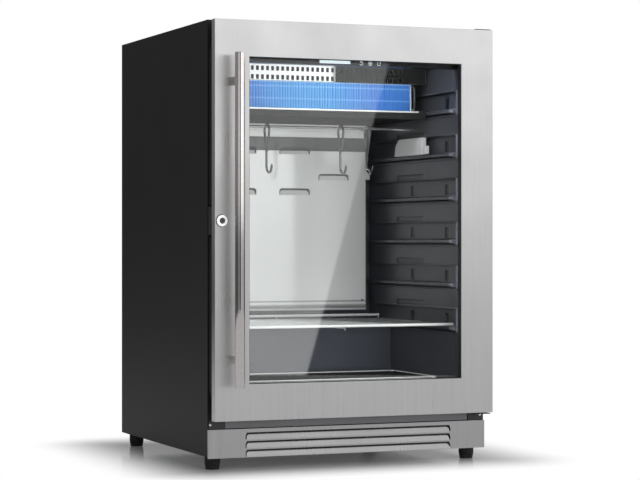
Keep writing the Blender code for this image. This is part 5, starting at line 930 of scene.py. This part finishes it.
class StudioSettings(bpy.types.PropertyGroup):
    """The studio's light and floor."""
    sky: FloatProperty(name="Sky", description="Strength of the light from all round", default=0.8,
                       min=0.0)
    key_power: power("Key Lamp", "Power of the large lamp at the front right", 16.0)
    fill_power: power("Fill Lamp", "Power of the lamp at the front left", 30.0)
    front_power: power("Front Lamp", "Power of the lamp that looks in at the glass", 74.0)
    top_power: power("Top Lamp", "Power of the lamp overhead", 9.0)
    floor: colour("Floor", "Colour of the floor", (0.8, 0.8, 0.8))
    floor_reach: distance("Floor Reach", "Radius of the round floor", 3.0)
    floor_fade: distance("Floor Fade", "How far from the cabinet its mirror image goes", 0.205)


class FinishSettings(bpy.types.PropertyGroup):
    """The colours that a user would change."""
    steel: colour("Steel", "Bright tone of the brushed steel", (0.69, 0.69, 0.69))
    fins_low: colour("Fins, Deep", "Deep tone of the blue fins", (0.035, 0.16, 0.56))
    fins_high: colour("Fins, Pale", "Pale tone of the blue fins", (0.07, 0.23, 0.62))


class FineSettings(bpy.types.PropertyGroup):
    """The sizes of the fine pieces that a user would change."""
    wire_pitch: distance("Wire Pitch", "Distance between the shelf's cross wires", 0.0366)
    fin_count: IntProperty(name="Fins", description="Number of evaporator fins", default=70, min=2)


# Studio


def seen_directly(g, path):
    """1 for what is seen straight or through glass alone, and 0 after a bounce."""
    bounces = g.calc("SUBTRACT", path["Ray Depth"], path["Transmission Depth"])
    return g.calc("LESS_THAN", bounces, 0.5)


def floor_look(g, settings):
    """A pale polished floor. It keeps the cabinet's shadow and mirror image near the cabinet, and
    further off it turns to the white that is seen of it."""
    tone = rgb(tuple(settings.floor))
    g.fill(g.surface, {"Base Color": g.mix(g.noise(30, 4), tone, tone * 0.97), "IOR": 1.45,
                       "Roughness": 0.09})
    low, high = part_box("outer_wrap")
    reach = {}
    for axis, level in enumerate(g.split()[:2]):
        middle, half = (low[axis] + high[axis]) / 2, (high[axis] - low[axis]) / 2
        past = g.calc("ADD", g.calc("ABSOLUTE", g.calc("ADD", level, -middle)), -half)
        reach[axis] = g.calc("MAXIMUM", past, 0.0)
    far = g.vector("LENGTH", g.add("CombineXYZ", reach).outputs[0])
    away = g.ramp(far, 0.0, 1.0, FADE_START, settings.floor_fade, interpolation_type="SMOOTHSTEP")
    path = g.add("LightPath").outputs
    shown = g.calc("SUBTRACT", 1.0, path["Is Diffuse Ray"])
    level = g.times(g.ramp(seen_directly(g, path), FLOOR_MIRRORED, 1.0), shown)
    g.show_either(g.times(away, shown), g.add("Emission", {0: (1, 1, 1, 1), 1: level}))


def make_floor(settings):
    """A round floor just under the feet: reach (cos a, sin a)."""
    finish("studio_floor", "", floor_look, settings)
    turn = turns(96)
    rim = np.stack([np.cos(turn), np.sin(turn), 0 * turn], -1) * settings.floor_reach
    floor = new_object("studio_floor", (rim - (0, 0, 0.00001), [list(range(96))]))
    floor.data.materials.append(FINISHES["studio_floor"])


def make_sky(scene, settings):
    """A soft sky, brightest just over the horizon, with pale and dim panels round it. The door's
    glass mirrors a bright screen with a slanted edge. Seen directly the sky is white."""
    world = scene.world = bpy.data.worlds.new("studio_sky")
    world.use_nodes = True
    g = Graph(world.node_tree)
    toward = g.add("TexCoord").outputs["Generated"]
    across, forward, height = g.split(toward)
    turn = g.calc("ARCTAN2", *[g.calc("SUBTRACT", 0.0, part) for part in (across, forward)])
    panels = g.band(turn, *[(math.radians(place), level) for place, level in SKY_PANELS])
    back = g.ramp(g.vector("DOT_PRODUCT", toward, CAMERA_LOOK), 1.0, 0.3, 0.6, 0.85)
    around = g.times(g.band(height, *SKY_RISE), g.times(panels, back), settings.sky)
    beside = g.ramp(g.vector("DOT_PRODUCT", toward, SCREEN_EDGE), 1.0, 0.0, -0.0004, 0.0012)
    screen = g.calc("ADD", g.times(beside, g.ramp(height, 1.6, 0.52, -0.08, 0.09)), SCREEN_FLOOR)

    path = g.add("LightPath").outputs
    near = g.calc("LESS_THAN", path["Transmission Depth"], FACES_CROSSED)
    through = g.times(path["Is Transmission Ray"], near)
    mirrored = g.times(path["Is Singular Ray"], path["Is Reflection Ray"])
    level = g.blend(g.calc("MAXIMUM", through, mirrored), around, screen)
    white = g.times(seen_directly(g, path), path["Is Transmission Ray"])
    white = g.calc("MAXIMUM", white, path["Is Camera Ray"])
    sky = g.add("Background", {0: (1, 1, 1, 1), 1: g.blend(white, level, 1.0)})
    g.add("OutputWorld", {0: sky.outputs[0]})


def make_lamps(settings):
    """Large soft lamps. They are unseen, also in metal, which shows the sky alone."""
    lamps = (("key_lamp", (1.9, -2.7, 2.0), (1.5, 1.2), settings.key_power),
             ("fill_lamp", (-2.3, -2.4, 0.9), (1.4, 1.2), settings.fill_power),
             ("front_lamp", (0.2, -3.6, 0.36), (1.6, 0.6), settings.front_power),
             ("top_lamp", (0.0, -0.3, 2.6), (1.6, 1.6), settings.top_power))
    for name, place, size, watts in lamps:
        light = bpy.data.lights.new(name, "AREA")
        light.shape = "RECTANGLE"
        light.size, light.size_y = size
        light.energy = watts
        lamp = bpy.data.objects.new(name, light)
        lamp.location = place
        x, y, z = np.subtract(LAMP_AIM, place)
        lamp.rotation_euler = (math.atan2(math.hypot(x, y), -z), 0, math.atan2(-x, y))
        lamp.visible_camera = lamp.visible_glossy = lamp.visible_transmission = False
        bpy.context.scene.collection.objects.link(lamp)


def make_camera(scene):
    """The camera at the photographed angle, level and without shift."""
    data = bpy.data.cameras.new("picture_camera")
    data.sensor_width = SENSOR_WIDTH
    data.lens = FOCAL_PIXELS / PICTURE_WIDTH * SENSOR_WIDTH
    data.clip_start, data.clip_end = 0.05, 60.0
    camera = bpy.data.objects.new("picture_camera", data)
    camera.location = CAMERA_PLACE
    camera.rotation_euler = (math.radians(90), 0, -math.radians(CAMERA_TURN))
    scene.collection.objects.link(camera)
    scene.camera = camera
    scene.view_settings.view_transform = "Standard"


# Operators


class CABINET_OT_studio(bpy.types.Operator):
    """Makes the floor, the lamps, the sky and the camera"""
    bl_idname = "cabinet.studio"
    bl_label = "Studio"

    def execute(self, context):
        settings = context.scene.cabinet_studio
        make_floor(settings)
        make_sky(context.scene, settings)
        make_lamps(settings)
        make_camera(context.scene)
        return {"FINISHED"}


class CABINET_OT_finishes(bpy.types.Operator):
    """Gives every node of the frame its finish"""
    bl_idname = "cabinet.finishes"
    bl_label = "Finishes"

    def execute(self, context):
        make_finishes(context.scene.cabinet_colours)
        return {"FINISHED"}


class CABINET_OT_rack_walls(bpy.types.Operator):
    """Makes the moulded side walls with their pockets and runners"""
    bl_idname = "cabinet.rack_walls"
    bl_label = "Rack Walls"

    def execute(self, context):
        for name, side in (("rack_wall_left", -1), ("rack_wall_right", 1)):
            points, faces, relief = rack_wall_shape(side)
            item = piece(f"{name}_relief", (points, faces), "rack_plastic", "cabinet",
                         "liner_plastic", name, smooth=50)
            # The relief tone places the rack plastic's painted highlight and painted shade
            tone = item.data.attributes.new("relief", "FLOAT", "POINT")
            tone.data.foreach_set("value", relief.astype(np.float32))
        return {"FINISHED"}


class CABINET_OT_shelf(bpy.types.Operator):
    """Makes the chrome wire shelf"""
    bl_idname = "cabinet.shelf"
    bl_label = "Wire Shelf"

    def execute(self, context):
        rods, wires = shelf_shape(context.scene.cabinet_fine.wire_pitch)
        piece("shelf_rods", rods, "tray_steel", "wire_shelf", "bright_steel", "wire_shelf")
        piece("shelf_wires", wires, "chrome", "wire_shelf", "bright_steel")
        piece("shelf_clip", shelf_clip_shape(), "chrome", "wire_shelf", "bright_steel")
        piece("tray_rim", tray_rim_shape(), "tray_steel", "drip_tray", "bright_steel")
        return {"FINISHED"}


class CABINET_OT_hooks(bpy.types.Operator):
    """Makes the three hooks"""
    bl_idname = "cabinet.hooks"
    bl_label = "Hooks"

    def execute(self, context):
        for name in ("meat_hook_1", "meat_hook_2", "meat_hook_3"):
            piece(f"{name}_wire", hook_shape(name), "hook_steel", name, "bright_steel", name)
        return {"FINISHED"}


class CABINET_OT_handle(bpy.types.Operator):
    """Makes the handle's bar"""
    bl_idname = "cabinet.handle"
    bl_label = "Handle"

    def execute(self, context):
        piece("handle_tube", handle_shape(), "handle_steel", "door", "bright_steel", "handle_bar")
        return {"FINISHED"}


class CABINET_OT_door_frame(bpy.types.Operator):
    """Makes the black mouldings round the glass"""
    bl_idname = "cabinet.door_frame"
    bl_label = "Door Mouldings"

    def execute(self, context):
        piece("door_moulding", door_moulding_shape(), "black_plastic", "door", "black_plastic",
              "door_inner_frame")
        for name, label, inset, width, slot in (
                ("glazing_bead", "glass_bead", -0.0108, 0.0068, "gasket_rubber"),
                ("glass_spacer", "edge_spacer", -0.0025, 0.0023, "aluminium")):
            low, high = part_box(name)
            near, far = low.y + 0.0001, high.y - 0.0001
            profile = [(0, near), (width, near), (width, far), (0, far)]
            piece(label, frame_sweep(*glass_path(inset), profile), "gasket_rubber", "door", slot, name)
        return {"FINISHED"}


class CABINET_OT_seal(bpy.types.Operator):
    """Makes the door's folded seal"""
    bl_idname = "cabinet.seal"
    bl_label = "Door Seal"

    def execute(self, context):
        piece("door_seal", gasket_shape(), "gasket_rubber", "door", "gasket_rubber", "door_gasket")
        return {"FINISHED"}


class CABINET_OT_coil(bpy.types.Operator):
    """Makes the evaporator's fins, tubes and return bend, and the pan's rim"""
    bl_idname = "cabinet.coil"
    bl_label = "Evaporator Coil"

    def execute(self, context):
        piece("coil_fins", fin_shapes(context.scene.cabinet_fine.fin_count), "blue_fins", "cabinet",
              "blue_fins", "evaporator_fins")
        piece("coil_tubes", coil_tubes(), "aluminium", "cabinet", "aluminium")
        low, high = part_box("evaporator_drip_pan")
        rim = rounded_box((low.x, low.y - 0.0004, high.z - 0.0034),
                          (high.x - 0.0225, low.y + 0.0008, high.z), 0.0004)
        piece("pan_rim", rim, "tray_steel", "cabinet", "bright_steel")
        piece("coil_bend", bend_shape(), "aluminium", "cabinet", "copper", "return_bend")
        return {"FINISHED"}


class CABINET_OT_feet(bpy.types.Operator):
    """Makes the four levelling feet"""
    bl_idname = "cabinet.feet"
    bl_label = "Feet"

    def execute(self, context):
        for name in ("foot_front_left", "foot_front_right", "foot_back_left", "foot_back_right"):
            piece(f"{name}_ribbed", foot_shape(name), "foot_rubber", name, "black_plastic", name)
        return {"FINISHED"}


class CABINET_OT_controls(bpy.types.Operator):
    """Makes the control strip, its display and its lit touch keys"""
    bl_idname = "cabinet.controls"
    bl_label = "Controls"

    def execute(self, context):
        low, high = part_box("control_fascia")
        strip = rounded_box((low.x, low.y + FACE_SETBACK, low.z + 0.0062), high, 0.0011)
        piece("control_strip", strip, "fascia_black", "cabinet", "black_plastic", "control_fascia")
        piece("display_lens", rounded_box(*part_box("display_window"), 0.0003), "display", "cabinet",
              "display", "display_window")
        piece("touch_keys", icon_shapes(), "key_light", "cabinet", "display")
        return {"FINISHED"}


class CABINET_OT_lock(bpy.types.Operator):
    """Makes a dark ring of painted shade between the lock and the door, where the shadow gap round the
    lock falls
    """
    bl_idname = "cabinet.lock"
    bl_label = "Lock Ring"

    def execute(self, context):
        low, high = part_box("lock_body")
        centre, radius = ((low.x + high.x) / 2, (low.z + high.z) / 2), (high.x - low.x) / 2
        ring = ring_shape(centre, radius - 0.001, radius + 0.0012, low.y + 0.002, 0.001)
        piece("lock_painted_shade_ring", ring, "bracket_black", "door", "black_plastic")
        return {"FINISHED"}


class CABINET_OT_louvres(bpy.types.Operator):
    """Makes black strips of painted shade over the mouths of the plinth's three louvres"""
    bl_idname = "cabinet.louvres"
    bl_label = "Louvre Gaps"

    def execute(self, context):
        low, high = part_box("kick_plate")
        half, near, far = high.x - 0.0785, low.y + 0.0002, low.y + 0.0011
        painted_shade_strips = [rounded_box((-half, near, top - 0.0025), (half, far, top - 0.0001), 0.0003)
                for top in high.z - 0.0072 - 0.0167 * np.arange(3)]
        piece("louvre_painted_shade", merged(*painted_shade_strips), "black_plastic", "cabinet", "black_plastic")
        return {"FINISHED"}


class CABINET_OT_screws(bpy.types.Operator):
    """Makes the screws that show"""
    bl_idname = "cabinet.screws"
    bl_label = "Screws"

    def execute(self, context):
        bracket_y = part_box("left_filler_bracket")[0].y
        panel_y, cover_y = 0.1759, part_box("machine_cover")[1].y
        screws = [("bracket_screw_right", (0.2889, bracket_y, 0.0913), -1, 0.0026),
                  ("bracket_screw_left", (-0.2925, bracket_y, 0.0895), -1, 0.0024)]
        for side, tag in ((-1, "left"), (1, "right")):
            screws += [(f"panel_screw_{height}_{tag}", (0.2077 * side, panel_y, z), -1, 0.0028)
                       for height, z in (("low", 0.3145), ("high", 0.69))]
            screws += [(f"back_screw_{tag}_{index}", (0.286 * side, cover_y, z), 1, 0.0036)
                       for index, z in enumerate((0.04, 0.162, 0.286, 0.31, 0.585, 0.86))]
        for name, place, side, radius in screws:
            piece(name, screw_shape(place, (0, side, 0), radius, radius * 0.45), "chrome", "cabinet",
                  "bright_steel")
        return {"FINISHED"}


class VIEW3D_PT_cabinet(bpy.types.Panel):
    """Lists the steps that dress the cabinet"""
    bl_idname = "VIEW3D_PT_cabinet"
    bl_label = "Dry Aging Cabinet"
    bl_space_type = "VIEW_3D"
    bl_region_type = "UI"
    bl_category = "Cabinet"

    def draw(self, context):
        for step in STEPS:
            self.layout.operator(step.bl_idname)
        for group in SETTINGS:
            settings = getattr(context.scene, group)
            for name in settings.bl_rna.properties.keys()[2:]:
                self.layout.prop(settings, name)


SETTINGS = {"cabinet_studio": StudioSettings, "cabinet_colours": FinishSettings,
            "cabinet_fine": FineSettings}
STEPS = (CABINET_OT_studio, CABINET_OT_finishes, CABINET_OT_rack_walls, CABINET_OT_shelf,
         CABINET_OT_hooks, CABINET_OT_handle, CABINET_OT_door_frame, CABINET_OT_seal,
         CABINET_OT_coil, CABINET_OT_feet, CABINET_OT_controls, CABINET_OT_lock,
         CABINET_OT_louvres, CABINET_OT_screws)
CLASSES = (*SETTINGS.values(), *STEPS, VIEW3D_PT_cabinet)


def register():
    for item in CLASSES:
        bpy.utils.register_class(item)
    for name, kind in SETTINGS.items():
        setattr(bpy.types.Scene, name, PointerProperty(type=kind))


def unregister():
    for name in SETTINGS:
        delattr(bpy.types.Scene, name)
    for item in reversed(CLASSES):
        bpy.utils.unregister_class(item)


def main():
    """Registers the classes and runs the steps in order."""
    register()
    for step in STEPS:
        category, name = step.bl_idname.split(".")
        getattr(getattr(bpy.ops, category), name)()


if __name__ == "__main__":
    main()
